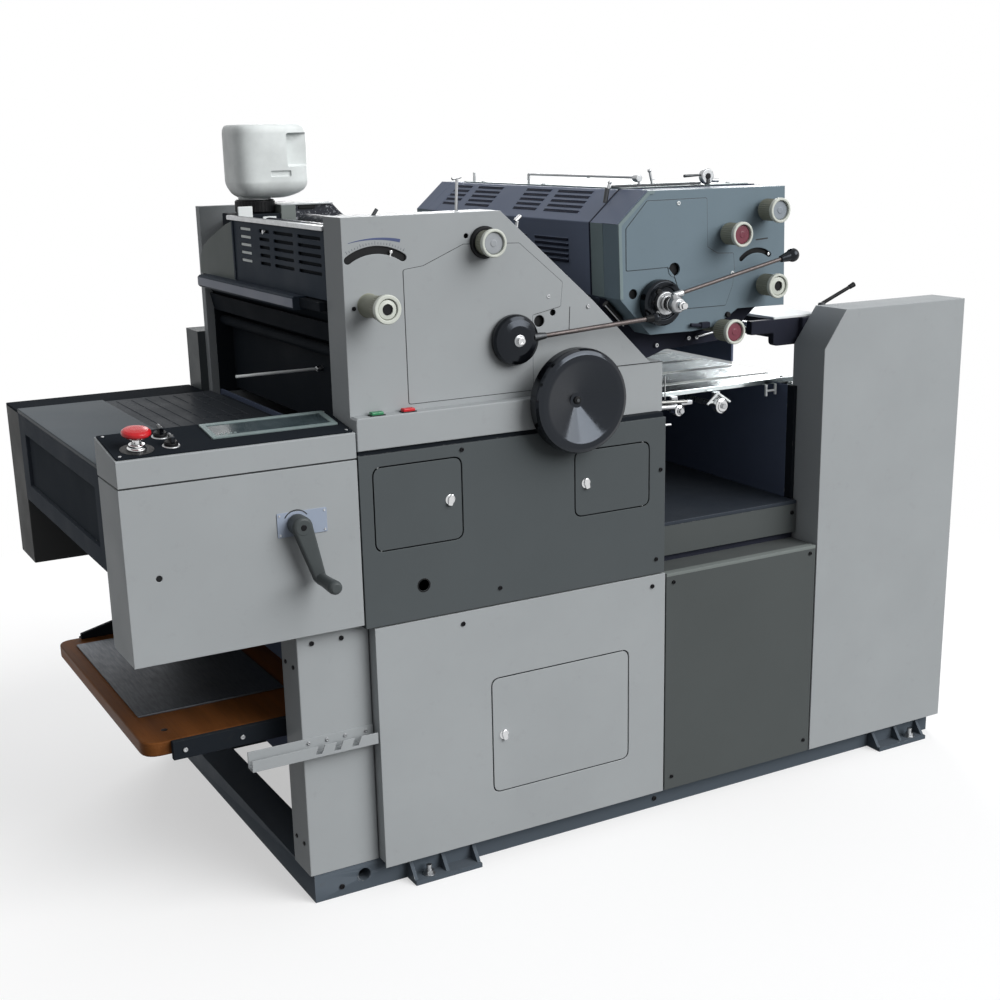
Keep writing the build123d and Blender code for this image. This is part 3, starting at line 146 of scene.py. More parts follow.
class Tree:
    """A small hand for laying out a tree of nodes."""

    def __init__(self, tree):
        self.tree = tree
        tree.nodes.clear()

    def add(self, kind, inputs=None, **settings):
        node = self.tree.nodes.new(kind)
        for name, value in settings.items():
            setattr(node, name, value)
        for name, value in (inputs or {}).items():
            self.feed(node.inputs[name], value)
        return node

    def feed(self, socket, value):
        if isinstance(value, NodeSocket):
            self.tree.links.new(value, socket)
        elif socket.type == "RGBA":
            socket.default_value = (*value, 1)
        else:
            socket.default_value = value

    def span(self, value, low, high, to_low, to_high):
        limits = {"Value": value, "From Min": low, "From Max": high, "To Min": to_low, "To Max": to_high}
        return self.add("ShaderNodeMapRange", limits).outputs["Result"]

    def maths(self, operation, first, second):
        return self.add("ShaderNodeMath", {0: first, 1: second}, operation=operation).outputs[0]

    def either(self, *kinds):
        """Whether a ray is any of these kinds."""
        rays = self.add("ShaderNodeLightPath").outputs
        share = rays[kinds[0]]
        for kind in kinds[1:]:
            share = self.maths("MAXIMUM", share, rays[kind])
        return share

    def mix(self, share, first, second):
        return self.add("ShaderNodeMixShader", {0: share, 1: first, 2: second}).outputs[0]


class Nodes(Tree):
    """The nodes of one material."""

    def __init__(self, name):
        self.material = bpy.data.materials.new(name)
        self.material.use_nodes = True
        super().__init__(self.material.node_tree)
        self.shader = self.add("ShaderNodeBsdfPrincipled")
        self.output = self.add("ShaderNodeOutputMaterial", {"Surface": self.shader.outputs[0]})
        self.where = self.add("ShaderNodeTexCoord").outputs["Object"]

    def set(self, **values):
        for name, value in values.items():
            self.feed(self.shader.inputs[name.replace("_", " ")], value)

    def noise(self, scale, detail=2, rough=0.5, stretch=None):
        place = self.where
        if stretch:
            place = self.add("ShaderNodeMapping", {"Vector": place, "Scale": stretch}).outputs[0]
        values = {"Vector": place, "Scale": scale, "Detail": detail, "Roughness": rough}
        return self.add("ShaderNodeTexNoise", values).outputs["Fac"]

    def blend(self, share, first, second):
        return self.add("ShaderNodeMix", {0: share, 6: first, 7: second}, data_type="RGBA").outputs[2]

    def bump(self, height, strength, distance, under=None):
        node = self.add("ShaderNodeBump", {"Strength": strength, "Distance": distance, "Height": height})
        if under is not None:
            self.feed(node.inputs["Normal"], under)
        return node.outputs[0]

    def edges(self, radius):
        """How near a point is to a worn outside edge, from 0 to 1."""
        rounding = self.add("ShaderNodeBevel", {"Radius": radius}, samples=4)
        normal = self.add("ShaderNodeNewGeometry").outputs["Normal"]
        dot = self.add("ShaderNodeVectorMath", {0: rounding.outputs[0], 1: normal}, operation="DOT_PRODUCT")
        return self.span(dot.outputs["Value"], 0.97, 0.80, 0, 1)

    def upward(self):
        normal = self.add("ShaderNodeNewGeometry").outputs["Normal"]
        return self.span(self.add("ShaderNodeSeparateXYZ", {0: normal}).outputs["Z"], 0.5, 1.0, 0, 1)


def shade(colour, factor):
    return tuple(min(1, level * factor) for level in colour)


def tint(colour, other, share):
    return tuple(a * (1 - share) + b * share for a, b in zip(colour, other))


def enamel(name, colour, rough=0.38, peel=0.12, wear=1.0, bare=(0.42, 0.42, 0.41), grime=0.2, gloss=0.02,
           dust=0.05):
    """Sprayed machine enamel with orange peel, handled and rubbed edges and a little dust on top."""
    kit = Nodes(name)
    broad = kit.noise(3.5, 4, 0.6)
    base = kit.blend(kit.span(broad, 0.35, 0.7, 0, 1), shade(colour, 0.965), shade(colour, 1.03))
    dirt = kit.span(kit.noise(38, 5, 0.65), 0.60, 0.80, 0, grime * 0.6)
    base = kit.blend(dirt, base, shade(tint(colour, (0.10, 0.085, 0.06), 0.5), 0.75))
    settled = kit.maths("MULTIPLY", kit.upward(), kit.span(broad, 0.3, 0.8, 0.0, dust))
    base = kit.blend(settled, base, (0.45, 0.43, 0.40))
    rubbed = wear * bpy.context.scene.press_sizes.wear
    worn = kit.maths("MULTIPLY", kit.edges(0.0022), kit.span(kit.noise(85, 6, 0.7), 0.56, 0.66, 0, rubbed))
    kit.set(Base_Color=kit.blend(worn, base, bare), Specular_IOR_Level=gloss)
    kit.set(Roughness=kit.span(kit.noise(9, 5, 0.6), 0.3, 0.75, rough - 0.06, rough + 0.10))
    kit.set(Metallic=kit.maths("MULTIPLY", worn, 0.7))
    skin = kit.bump(kit.noise(420, 2, 0.5), peel, 0.0004)
    kit.set(Normal=kit.bump(broad, 0.08, 0.004, skin))
    return kit.material


def metal(name, colour, rough=0.25, grain=(1, 1, 1), tarnish=0.25, bump=0.05):
    """Bare metal, with turning or brushing marks along the grain and uneven tarnish."""
    kit = Nodes(name)
    base = kit.blend(kit.span(kit.noise(24, 5, 0.65), 0.4, 0.75, 0, tarnish), colour, shade(colour, 0.45))
    marks = kit.noise(190, 3, 0.6, grain)
    base = kit.blend(kit.span(marks, 0.35, 0.7, 0.0, 0.22), base, shade(colour, 0.7))
    kit.set(Base_Color=base, Metallic=1.0)
    kit.set(Roughness=kit.span(marks, 0.3, 0.7, max(0.04, rough - 0.07), rough + 0.12))
    kit.set(Normal=kit.bump(marks, bump, 0.0003))
    return kit.material


def plastic(name, colour, rough=0.3, peel=0.06, coat=0.0, scratches=0.15, gloss=0.4, glint=(1, 1, 1)):
    """Moulded plastic, smooth, with fine scratches and rubbed corners."""
    kit = Nodes(name)
    scratch = kit.noise(160, 6, 0.75, (1, 0.12, 1))
    uneven = kit.span(kit.noise(14, 4, 0.6), 0.35, 0.7, 0, 1)
    base = kit.blend(uneven, shade(colour, 0.9), shade(colour, 1.08))
    scored = kit.span(scratch, 0.62, 0.78, 0, scratches)
    base = kit.blend(scored, base, shade(tint(colour, (0.5, 0.5, 0.5), 0.35), 1.1))
    rub = kit.maths("MULTIPLY", kit.edges(0.0012), kit.span(kit.noise(120, 4, 0.6), 0.5, 0.7, 0, 0.25))
    base = kit.blend(rub, base, tint(colour, (0.5, 0.5, 0.48), 0.4))
    kit.set(Base_Color=base, Coat_Weight=coat, Coat_Roughness=0.08)
    kit.set(Specular_IOR_Level=gloss, Specular_Tint=glint)
    kit.set(Roughness=kit.span(scratch, 0.35, 0.75, rough - 0.05, rough + 0.14))
    kit.set(Normal=kit.bump(kit.noise(520, 2, 0.5), peel, 0.0003))
    return kit.material


def shaded_knob_plastic(name, colour):
    """The knob's cream plastic, darkened and tinted olive: painted shade on a knob's side."""
    return plastic(name, tint(shade(colour, 0.5), (0.2, 0.2, 0.12), 0.4), 0.45, gloss=0.2)


def varnished_wood(name, colour):
    """Varnished laminate with long grain across the machine."""
    kit = Nodes(name)
    rings = kit.noise(26, 6, 0.62, (1, 0.09, 1))
    pores = kit.noise(300, 3, 0.6, (1, 0.03, 1))
    base = kit.blend(kit.span(rings, 0.32, 0.68, 0, 1), shade(colour, 0.66), shade(colour, 1.2))
    base = kit.blend(kit.span(pores, 0.55, 0.75, 0, 0.4), base, shade(colour, 0.4))
    rub = kit.maths("MULTIPLY", kit.edges(0.003), kit.span(kit.noise(60, 5, 0.7), 0.45, 0.65, 0, 0.7))
    base = kit.blend(rub, base, shade(tint(colour, (0.6, 0.45, 0.3), 0.4), 1.15))
    kit.set(Base_Color=base, Coat_Weight=0.02, Coat_Roughness=0.2, Specular_IOR_Level=0.03)
    kit.set(Roughness=kit.span(rings, 0.3, 0.7, 0.34, 0.5), Normal=kit.bump(pores, 0.12, 0.0005))
    return kit.material


def rubber(name, colour, rough=0.6):
    """Ground rubber of a roller, with a thin film of ink."""
    kit = Nodes(name)
    film = kit.noise(30, 5, 0.6, (1, 0.25, 1))
    base = kit.blend(kit.span(film, 0.35, 0.7, 0, 1), shade(colour, 0.7), shade(colour, 1.5))
    kit.set(Base_Color=base, Roughness=kit.span(film, 0.3, 0.7, rough - 0.2, rough + 0.1))
    kit.set(Normal=kit.bump(kit.noise(700, 2, 0.5), 0.2, 0.0003))
    return kit.material


def inked_rubber(name, colour):
    """Rubber wet with ink and water, so that it glints in small bright spots."""
    kit = Nodes(name)
    spots = kit.noise(150, 4, 0.7, (1, 0.5, 1))
    wet = kit.span(spots, 0.57, 0.66, 0, 1)
    kit.set(Base_Color=kit.blend(wet, shade(colour, 0.5), (0.3, 0.31, 0.33)), Specular_IOR_Level=0.15)
    kit.set(Roughness=kit.span(spots, 0.4, 0.7, 0.5, 0.3), Metallic=kit.maths("MULTIPLY", wet, 0.6))
    kit.set(Normal=kit.bump(spots, 0.35, 0.0015))
    return kit.material


def screen_glass(name, dark, pale):
    """A dark liquid-crystal screen behind a clear window."""
    kit = Nodes(name)
    haze = kit.noise(16, 4, 0.6)
    kit.set(Base_Color=kit.blend(kit.span(haze, 0.3, 0.7, 0, 1), dark, pale))
    kit.set(Roughness=kit.span(haze, 0.3, 0.7, 0.08, 0.2), Coat_Weight=0.15, Coat_Roughness=0.04)
    return kit.material


BLUISH = (0.78, 0.87, 1.0)

# Each finish: how it is made, its colour or the name of its property, and what sets it apart
FINISHES = {
    "light enamel": (enamel, "light_enamel", {"rough": 0.40}),
    "middle enamel": (enamel, "middle_enamel", {"rough": 0.42, "gloss": 0.06}),
    "panel enamel": (enamel, "panel_enamel", {"rough": 0.45, "gloss": 0.06}),
    "unit enamel": (enamel, "unit_enamel", {"rough": 0.36, "gloss": 0.05}),
    "unit light": (enamel, (122, 136, 138), {"rough": 0.36, "gloss": 0.05}),
    "hood enamel": (enamel, "hood_enamel", {"rough": 0.4}),
    "base enamel": (enamel, "base_enamel", {"rough": 0.5, "grime": 0.4, "wear": 1.4, "gloss": 0.04}),
    "table enamel": (enamel, "table_enamel", {"rough": 0.4, "gloss": 0.002}),
    "table top": (enamel, (71, 79, 85), {"rough": 0.16, "peel": 0.02, "gloss": 0.004, "dust": 0.02}),
    "table dark": (enamel, (57, 62, 68), {"rough": 0.5, "gloss": 0.001, "dust": 0.02}),
    "table ridged": (enamel, (64, 68, 73), {"rough": 0.3, "gloss": 0.003, "dust": 0.02}),
    "desk black": (enamel, (30, 34, 39), {"rough": 0.5, "peel": 0.2, "bare": (0.2, 0.2, 0.2), "gloss": 0.001,
                                          "dust": 0.01}),
    "far enamel": (enamel, "far_enamel", {"rough": 0.45}),
    "machine black": (enamel, (34, 38, 43), {"rough": 0.6, "peel": 0.25, "grime": 0.3, "gloss": 0.01}),
    "head black": (enamel, (43, 45, 55), {"rough": 0.45, "peel": 0.2}),
    "wall dark": (enamel, (90, 99, 119), {"rough": 0.6, "peel": 0.2, "gloss": 0.01}),
    "guard enamel": (enamel, (52, 60, 70), {"rough": 0.55, "wear": 0.6, "gloss": 0.03}),
    # Pale grey for the guard's cheek and the block over the fountain; on the right panel's lip it is a
    # painted highlight
    "panel edge": (enamel, (118, 124, 122), {"rough": 0.4}),
    "bar grey": (enamel, (122, 128, 142), {"rough": 0.4, "gloss": 0.1}),
    "shelf top": (enamel, (50, 56, 64), {"rough": 0.34, "gloss": 0.1}),
    "plate blue": (enamel, (150, 160, 176), {"rough": 0.35, "wear": 0.3}),
    "plate white": (enamel, (226, 230, 230), {"rough": 0.4}),
    "steel": (metal, (196, 198, 199), {"rough": 0.26, "grain": (1, 1, 0.1)}),
    "polished": (metal, (214, 215, 216), {"rough": 0.12, "tarnish": 0.1, "bump": 0.02}),
    "zinc": (metal, (176, 178, 180), {"rough": 0.34, "tarnish": 0.4}),
    "dark iron": (metal, (72, 74, 76), {"rough": 0.42, "tarnish": 0.6, "bump": 0.2}),
    "black screw": (metal, (34, 34, 36), {"rough": 0.36, "tarnish": 0.3}),
    "rod steel": (metal, (140, 140, 138), {"rough": 0.3, "tarnish": 0.5}),
    "rod brown": (metal, (88, 82, 81), {"rough": 0.42, "tarnish": 0.6}),
    "sheet grey": (metal, (100, 104, 110), {"rough": 0.45, "grain": (1, 0.1, 1), "tarnish": 0.4}),
    "board steel": (metal, (222, 231, 232), {"rough": 0.14, "grain": (0.3, 1, 1), "tarnish": 0.03,
                                             "bump": 0.002}),
    "black plastic": (plastic, "black_plastic", {"rough": 0.12, "scratches": 0.03, "gloss": 0.3,
                                                 "glint": BLUISH}),
    "wheel black": (plastic, (8, 9, 13), {"rough": 0.1, "peel": 0.01, "scratches": 0.0, "gloss": 0.42,
                                          "glint": BLUISH}),
    "matt black": (plastic, (18, 19, 21), {"rough": 0.42, "peel": 0.2, "gloss": 0.15}),
    "crank black": (plastic, (66, 71, 72), {"rough": 0.36, "peel": 0.15, "gloss": 0.2}),
    # Painted shade for the louvre openings and the hood's edge groove
    "louvre dark": (plastic, (30, 34, 48), {"rough": 0.6, "gloss": 0.05}),
    "knob ring": (plastic, "cream_plastic", {"rough": 0.34}),
    # Knob sides are the cream plastic painted darker and olive, as painted shade
    "knob side": (shaded_knob_plastic, "cream_plastic", {}),
    "knob blue": (plastic, (134, 142, 150), {"rough": 0.4}),
    "knob red": (plastic, (106, 40, 56), {"rough": 0.35}),
    "dial grey": (plastic, (148, 152, 156), {"rough": 0.35}),
    "red plastic": (plastic, "red_plastic", {"rough": 0.25, "coat": 0.1, "gloss": 0.25}),
    "push green": (plastic, (20, 120, 74), {"rough": 0.3, "coat": 0.3}),
    "bottle": (plastic, "bottle", {"rough": 0.38, "peel": 0.12}),
    "display frame": (plastic, (120, 134, 134), {"rough": 0.4, "gloss": 0.2}),
    # Pale grey: real tapes on the feed board, and painted reflection in the guard's slots
    "tape grey": (plastic, (222, 228, 226), {"rough": 0.5}),
    "seam": (plastic, (38, 40, 42), {"rough": 0.6}),
    "print blue": (plastic, (62, 74, 112), {"rough": 0.5}),
    "print grey": (plastic, (92, 96, 104), {"rough": 0.5}),
    "wood": (varnished_wood, "wood", {}),
    "wood core": (varnished_wood, (120, 82, 46), {}),
    "roller rubber": (rubber, (40, 42, 46), {}),
    "inked roller": (inked_rubber, (62, 65, 74), {}),
    "screen": (screen_glass, None, {"dark": (0.03, 0.045, 0.05), "pale": (0.06, 0.08, 0.088)}),
}
MADE = {}


def finish(name):
    """The material of that name, made the first time that it is asked for."""
    if name not in MADE:
        maker, colour, options = FINISHES[name]
        if isinstance(colour, str):
            options = {"colour": getattr(bpy.context.scene.press_colours, colour), **options}
        elif colour:
            options = {"colour": srgb(*colour), **options}
        MADE[name] = maker(name, **options)
    return MADE[name]


# Mesh building, in millimetres on the machine

def at(x, y, z):
    return Vector((CORNER.x + x * MM, CORNER.y + y * MM, z * MM))


def as_mesh(bm, smooth=True):
    for face in bm.faces:
        face.smooth = smooth
    mesh = bpy.data.meshes.new("chunk")
    bm.to_mesh(mesh)
    bm.free()
    return mesh


def opened(mesh):
    """The chunk as a bmesh, its own data dropped."""
    bm = bmesh.new()
    bm.from_mesh(mesh)
    bpy.data.meshes.remove(mesh)
    return bm


def on_circle(x, z, radius, turn):
    return x + radius * math.cos(turn), z + radius * math.sin(turn)


def turns(count):
    """Even turns all round, in radians."""
    return [2 * math.pi * i / count for i in range(count)]


def eased(start, corner, end, steps):
    """The curve that rounds a corner from one point to another."""
    shares = [step / steps for step in range(steps + 1)]
    return [tuple((1 - t) ** 2 * start + 2 * t * (1 - t) * corner + t ** 2 * end) for t in shares]


def box(x, y, z, edge=1.5, segments=2):
    """A box from low to high along each axis, with rounded edges."""
    bm = bmesh.new()
    bmesh.ops.create_cube(bm, size=1)
    centre = [(low + high) / 2 for low, high in (x, y, z)]
    size = [high - low for low, high in (x, y, z)]
    for vert in bm.verts:
        vert.co = Vector([c + s * v for c, s, v in zip(centre, size, vert.co)])
    if edge > 0:
        bmesh.ops.bevel(bm, geom=bm.edges[:], offset=min(edge, min(size) * 0.45), segments=segments,
                        profile=0.5, affect="EDGES", clamp_overlap=True)
    return as_mesh(bm)


def rounded(outline, radius, steps=6):
    """The outline with every corner rounded, or each by its own radius."""
    points = [Vector(point) for point in outline]
    radii = radius if isinstance(radius, (list, tuple)) else [radius] * len(points)
    result = []
    for i, corner in enumerate(points):
        if radii[i] <= 0:
            result.append(tuple(corner))
            continue
        back = points[i - 1] - corner
        on = points[(i + 1) % len(points)] - corner
        reach = min(radii[i] / math.tan(back.angle(on) / 2), back.length * 0.49, on.length * 0.49)
        result += eased(corner + back.normalized() * reach, corner, corner + on.normalized() * reach, steps)
    return result


def softened(profile, radius=1.0, steps=3):
    """A turned profile with its inner corners rounded, its ends kept."""
    points = [Vector(point) for point in profile]
    result = [tuple(points[0])]
    for before, corner, after in zip(points, points[1:], points[2:]):
        back, on = before - corner, after - corner
        if back.length < 1e-6 or on.length < 1e-6 or back.angle(on) > math.radians(176):
            result.append(tuple(corner))
            continue
        reach = min(radius, back.length * 0.45, on.length * 0.45)
        result += eased(corner + back.normalized() * reach, corner, corner + on.normalized() * reach, steps)
    result.append(tuple(points[-1]))
    return result


def inset(outline, distance):
    """The outline drawn in by a distance, or grown by a negative one."""
    points = [Vector(point) for point in outline]
    count = len(points)
    area = sum(points[i - 1].x * points[i].y - points[i].x * points[i - 1].y for i in range(count))
    side = 1 if area > 0 else -1
    result = []
    for i, corner in enumerate(points):
        back = (corner - points[i - 1]).normalized()
        on = (points[(i + 1) % count] - corner).normalized()
        first = side * Vector((-back.y, back.x))
        second = side * Vector((-on.y, on.x))
        result.append(tuple(corner + distance * (first + second) / max(0.2, 1 + first.dot(second))))
    return result


def circle(x, z, radius, sides=40):
    return [on_circle(x, z, radius, turn) for turn in turns(sides)]


def rectangle(left, right, bottom, top, radius=0):
    corners = [(left, bottom), (right, bottom), (right, top), (left, top)]
    return rounded(corners, radius) if radius else corners


def arc_turns(start, end, steps):
    return [math.radians(start + (end - start) * i / steps) for i in range(steps + 1)]


def arc_points(x, z, radius, start, end, steps):
    return [on_circle(x, z, radius, turn) for turn in arc_turns(start, end, steps)]


def arc_band(x, z, radius, width, start, end, round_ends=True, last_width=None, steps=28):
    """The outline of a curved slot or printed arc."""
    last = width if last_width is None else last_width
    outer, inner = [], []
    for i, turn in enumerate(arc_turns(start, end, steps)):
        half = (width + (last - width) * i / steps) / 2
        outer.append(on_circle(x, z, radius + half, turn))
        inner.append(on_circle(x, z, radius - half, turn))
    if not round_ends:
        return outer + inner[::-1]

    def cap(turn, half, base):
        middle = on_circle(x, z, radius, turn)
        return [on_circle(*middle, half, base + math.pi * j / 8) for j in range(1, 8)]

    first, second = math.radians(start), math.radians(end)
    return outer + cap(second, last / 2, second) + inner[::-1] + cap(first, width / 2, first + math.pi)


def curve_mesh(curve):
    """The surface of a curve, which is then dropped."""
    carrier = bpy.data.objects.new("carrier", curve)
    mesh = bpy.data.meshes.new_from_object(carrier)
    bpy.data.objects.remove(carrier)
    bpy.data.curves.remove(curve)
    return mesh


AXIS_ORDER = {"Y": lambda u, v, w: (u, w, v), "Z": lambda u, v, w: (u, v, w), "X": lambda u, v, w: (w, u, v)}


def slab(outline, low, high, axis="Y", holes=(), edge=0.8, steps=2):
    """A flat plate across an axis, with softened rims and any holes."""
    curve = bpy.data.curves.new("slab", "CURVE")
    curve.dimensions = "2D"
    curve.fill_mode = "BOTH"
    edge = min(edge, (high - low) * 0.45)
    curve.extrude = (high - low) / 2 - edge
    curve.bevel_depth = edge
    curve.bevel_resolution = max(0, steps - 1)
    curve.offset = -edge
    for points in (outline, *holes):
        spline = curve.splines.new("POLY")
        spline.points.add(len(points) - 1)
        for point, (u, v) in zip(spline.points, points):
            point.co = (u, v, 0, 1)
        spline.use_cyclic_u = True
    bm = opened(curve_mesh(curve))
    for vert in bm.verts:
        vert.co = Vector(AXIS_ORDER[axis](vert.co.x, vert.co.y, vert.co.z + (low + high) / 2))
    bmesh.ops.remove_doubles(bm, verts=bm.verts[:], dist=0.001)
    bmesh.ops.recalc_face_normals(bm, faces=bm.faces[:])
    return as_mesh(bm)


def ring(profile, centre, axis=(0, 1, 0), sides=48, soft=0.8):
    """A turned piece: (radius, distance along the axis) points from one end to the other."""
    if soft:
        profile = softened(profile, soft)
    along = Vector(axis).normalized()
    across = along.orthogonal().normalized()
    other = along.cross(across)
    bm = bmesh.new()
    rows = []
    for radius, distance in profile:
        foot = Vector(centre) + along * distance
        if radius < 1e-4:
            rows.append([bm.verts.new(foot)])
            continue
        rows.append([bm.verts.new(foot + radius * (math.cos(turn) * across + math.sin(turn) * other))
                     for turn in turns(sides)])
    pairs = list(zip(rows, rows[1:]))
    if len(rows[0]) > 1 and len(rows[-1]) > 1:
        pairs.append((rows[-1], rows[0]))
    for first, second in pairs:
        for i in range(sides):
            corners = [first[i % len(first)], first[(i + 1) % len(first)], second[(i + 1) % len(second)],
                       second[i % len(second)]]
            corners = list(dict.fromkeys(corners))
            if len(corners) > 2:
                bm.faces.new(corners)
    bmesh.ops.recalc_face_normals(bm, faces=bm.faces[:])
    return as_mesh(bm)


def turned(rims, centre, axis=(0, 1, 0), sides=48, soft=0.8):
    """A solid turned piece, closed to its middle at both ends."""
    return ring([(0, rims[0][1]), *rims, (0, rims[-1][1])], centre, axis, sides, soft)


def rod(start, end, radius, sides=20, tip=None, edge=0.6):
    """A round bar between two points, tapered to the tip's radius where one is given."""
    start, end = Vector(start), Vector(end)
    far = radius if tip is None else tip
    return turned([(radius, 0), (far, (end - start).length)], start, end - start, sides, edge)


def ball(centre, radius, sides=28, rows=14):
    arc = [math.pi * i / rows for i in range(1, rows)]
    profile = [(radius * math.sin(turn), -radius * math.cos(turn)) for turn in arc]
    return ring([(0, -radius), *profile, (0, radius)], centre, (0, 0, 1), sides, 0)


def bent_bar(points, radius, sides=12):
    """A bent wire or bead through points."""
    curve = bpy.data.curves.new("bar", "CURVE")
    curve.dimensions = "3D"
    curve.bevel_depth = radius
    curve.bevel_resolution = sides // 4
    curve.use_fill_caps = True
    curve.resolution_u = 6
    spline = curve.splines.new("BEZIER")
    spline.bezier_points.add(len(points) - 1)
    for knot, point in zip(spline.bezier_points, points):
        knot.co = point
        knot.handle_left_type = knot.handle_right_type = "AUTO"
    mesh = curve_mesh(curve)
    for face in mesh.polygons:
        face.use_smooth = True
    return mesh


def turned_about(mesh, centre, axis, angle):
    """The chunk turned about a point by an angle in degrees."""
    turn = Matrix.Rotation(math.radians(angle), 4, axis)
    mesh.transform(Matrix.Translation(centre) @ turn @ Matrix.Translation(-Vector(centre)))
    return mesh


def on_far_side(mesh):
    """The chunk mirrored to the drive side."""
    bm = opened(mesh)
    for vert in bm.verts:
        vert.co.y = 2 * MID_Y - vert.co.y
    bmesh.ops.reverse_faces(bm, faces=bm.faces[:])
    return as_mesh(bm)


def on_both_sides(mesh):
    return [mesh.copy(), on_far_side(mesh)]


def node_chunk(node, edge=1.5, segments=2):
    """A node's own shape, cleaned of its facets and with rounded edges, in millimetres."""
    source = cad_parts[node]
    source = bpy.data.objects[source] if isinstance(source, str) else source
    bm = bmesh.new()
    bm.from_mesh(source.data)
    bmesh.ops.remove_doubles(bm, verts=bm.verts[:], dist=0.00001)
    for vert in bm.verts:
        vert.co = (vert.co - CORNER) / MM
        vert.co.z += CORNER.z / MM
    bmesh.ops.dissolve_limit(bm, angle_limit=math.radians(1), verts=bm.verts[:], edges=bm.edges[:])
    sharp = [e for e in bm.edges if e.is_manifold and e.calc_face_angle(0) > math.radians(25)]
    bmesh.ops.bevel(bm, geom=sharp, offset=edge, segments=segments, profile=0.5, affect="EDGES",
                    clamp_overlap=True)
    return as_mesh(bm)


def carved(mesh, cutters):
    """The mesh with the cutters taken away."""
    carrier = bpy.data.objects.new("carved", mesh)
    bpy.context.scene.collection.objects.link(carrier)
    tools = []
    for cutter in cutters:
        tool = bpy.data.objects.new("cutter", cutter)
        bpy.context.scene.collection.objects.link(tool)
        cut = carrier.modifiers.new("cut", "BOOLEAN")
        cut.operation = "DIFFERENCE"
        cut.solver = "EXACT"
        cut.object = tool
        tools.append(tool)
    bpy.context.view_layer.update()
    shaped = carrier.evaluated_get(bpy.context.evaluated_depsgraph_get())
    result = bpy.data.meshes.new_from_object(shaped)
    for thing in (carrier, *tools):
        data = thing.data
        bpy.data.objects.remove(thing)
        bpy.data.meshes.remove(data)
    for face in result.polygons:
        face.use_smooth = True
    return result


def screw(x, z, y, radius=5.0, height=3.2, axis=(0, 1, 0)):
    """A socket-head screw, seen from the operator's side or from where the axis starts."""
    low = -height * 0.35
    rims = [(radius * 0.42, low), (radius * 0.46, -height), (radius * 0.86, -height),
            (radius, -height * 0.75), (radius, 0)]
    return ring([(0, low), *rims, (0, 0)], (x, y, z), axis, 18, 0.25)


def hex_bolt(centre, axis, radius, height, washer=0.0):
    """A hexagon head, with a washer under it where one is given, standing out along the axis."""
    chunks = []
    centre, axis = Vector(centre), Vector(axis).normalized()
    if washer:
        chunks.append(turned([(washer, 0), (washer, 1.8)], centre, axis, 28, 0.4))
        centre = centre + axis * 1.8
    chunks.append(turned([(radius, 0), (radius, height * 0.86), (radius * 0.88, height)], centre, axis, 6, 0))
    return chunks


def bars(lines, width, low, high, reach=0.0):
    """Flat square-cut bars along lines on a face that looks to the operator."""
    bm = bmesh.new()
    for first, second in lines:
        first, second = Vector(first), Vector(second)
        along = (second - first).normalized()
        across = Vector((-along.y, along.x)) * width / 2
        first, second = first - along * reach, second + along * reach
        corners = [first - across, second - across, second + across, first + across]
        near, far = [[bm.verts.new((corner.x, y, corner.y)) for corner in corners] for y in (low, high)]
        bm.faces.new(near)
        bm.faces.new(far)
        for i in range(4):
            bm.faces.new((near[i], near[(i + 1) % 4], far[(i + 1) % 4], far[i]))
    bmesh.ops.recalc_face_normals(bm, faces=bm.faces[:])
    return as_mesh(bm, False)


def line_on(points, y, width, height=0.35):
    """A thin raised line through points."""
    return bars(zip(points, points[1:]), width, y - height, y, width * 0.3)


def ticks(x, z, radius, length, start, end, count, y, width=1.0):
    """Scale marks on an arc, every fifth one longer."""
    lines = []
    for i, turn in enumerate(arc_turns(start, end, count - 1)):
        reach = length * (1.5 if i % 5 == 0 else 1)
        lines.append((on_circle(x, z, radius, turn), on_circle(x, z, radius + reach, turn)))
    return bars(lines, width, y - 0.3, y + 0.3)


class Piece:
    """A piece in the making: chunks of mesh, each with its finish, that ride on a body."""

    def __init__(self, node, slot, body="machine", name=None):
        self.node = node
        self.slot = slot
        self.body = body
        self.name = name or node + "_piece"
        self.chunks = []

    def add(self, paint, *meshes):
        self.chunks += [(mesh, paint) for mesh in meshes]

    def add_far(self, paint, *meshes):
        self.add(paint, *[on_far_side(mesh) for mesh in meshes])

    def screws(self, paint, y, places, radius=5.0, height=3.2, put=None):
        (put or self.add)(paint, *[screw(x, z, y, radius, height) for x, z in places])

    def own_shape(self, paint, edge, segments=2):
        self.add(paint, node_chunk(self.node, edge, segments))

    def done(self, pivot=None):
        """Joins the chunks into one object, turning about the pivot where one is given."""
        if not self.chunks:
            raise RuntimeError(self.name + " has nothing in it")
        home = at(*pivot) if pivot else Vector((0, 0, 0))
        paints = list(dict.fromkeys(paint for _, paint in self.chunks))
        bm = bmesh.new()
        for mesh, paint in self.chunks:
            start = len(bm.faces)
            bm.from_mesh(mesh)
            bm.faces.ensure_lookup_table()
            for face in bm.faces[start:]:
                face.material_index = paints.index(paint)
            bpy.data.meshes.remove(mesh)
        for vert in bm.verts:
            vert.co = at(*vert.co) - home
        mesh = bpy.data.meshes.new(self.name)
        bm.to_mesh(mesh)
        bm.free()
        for paint in paints:
            mesh.materials.append(finish(paint))
        mesh.set_sharp_from_angle(angle=math.radians(38))
        piece = bpy.data.objects.new(self.name, mesh)
        piece.location = home
        bpy.context.scene.collection.objects.link(piece)
        even = piece.modifiers.new("even shading", "WEIGHTED_NORMAL")
        even.keep_sharp = True
        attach(piece, self.body)
        if self.node:
            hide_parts(self.node)


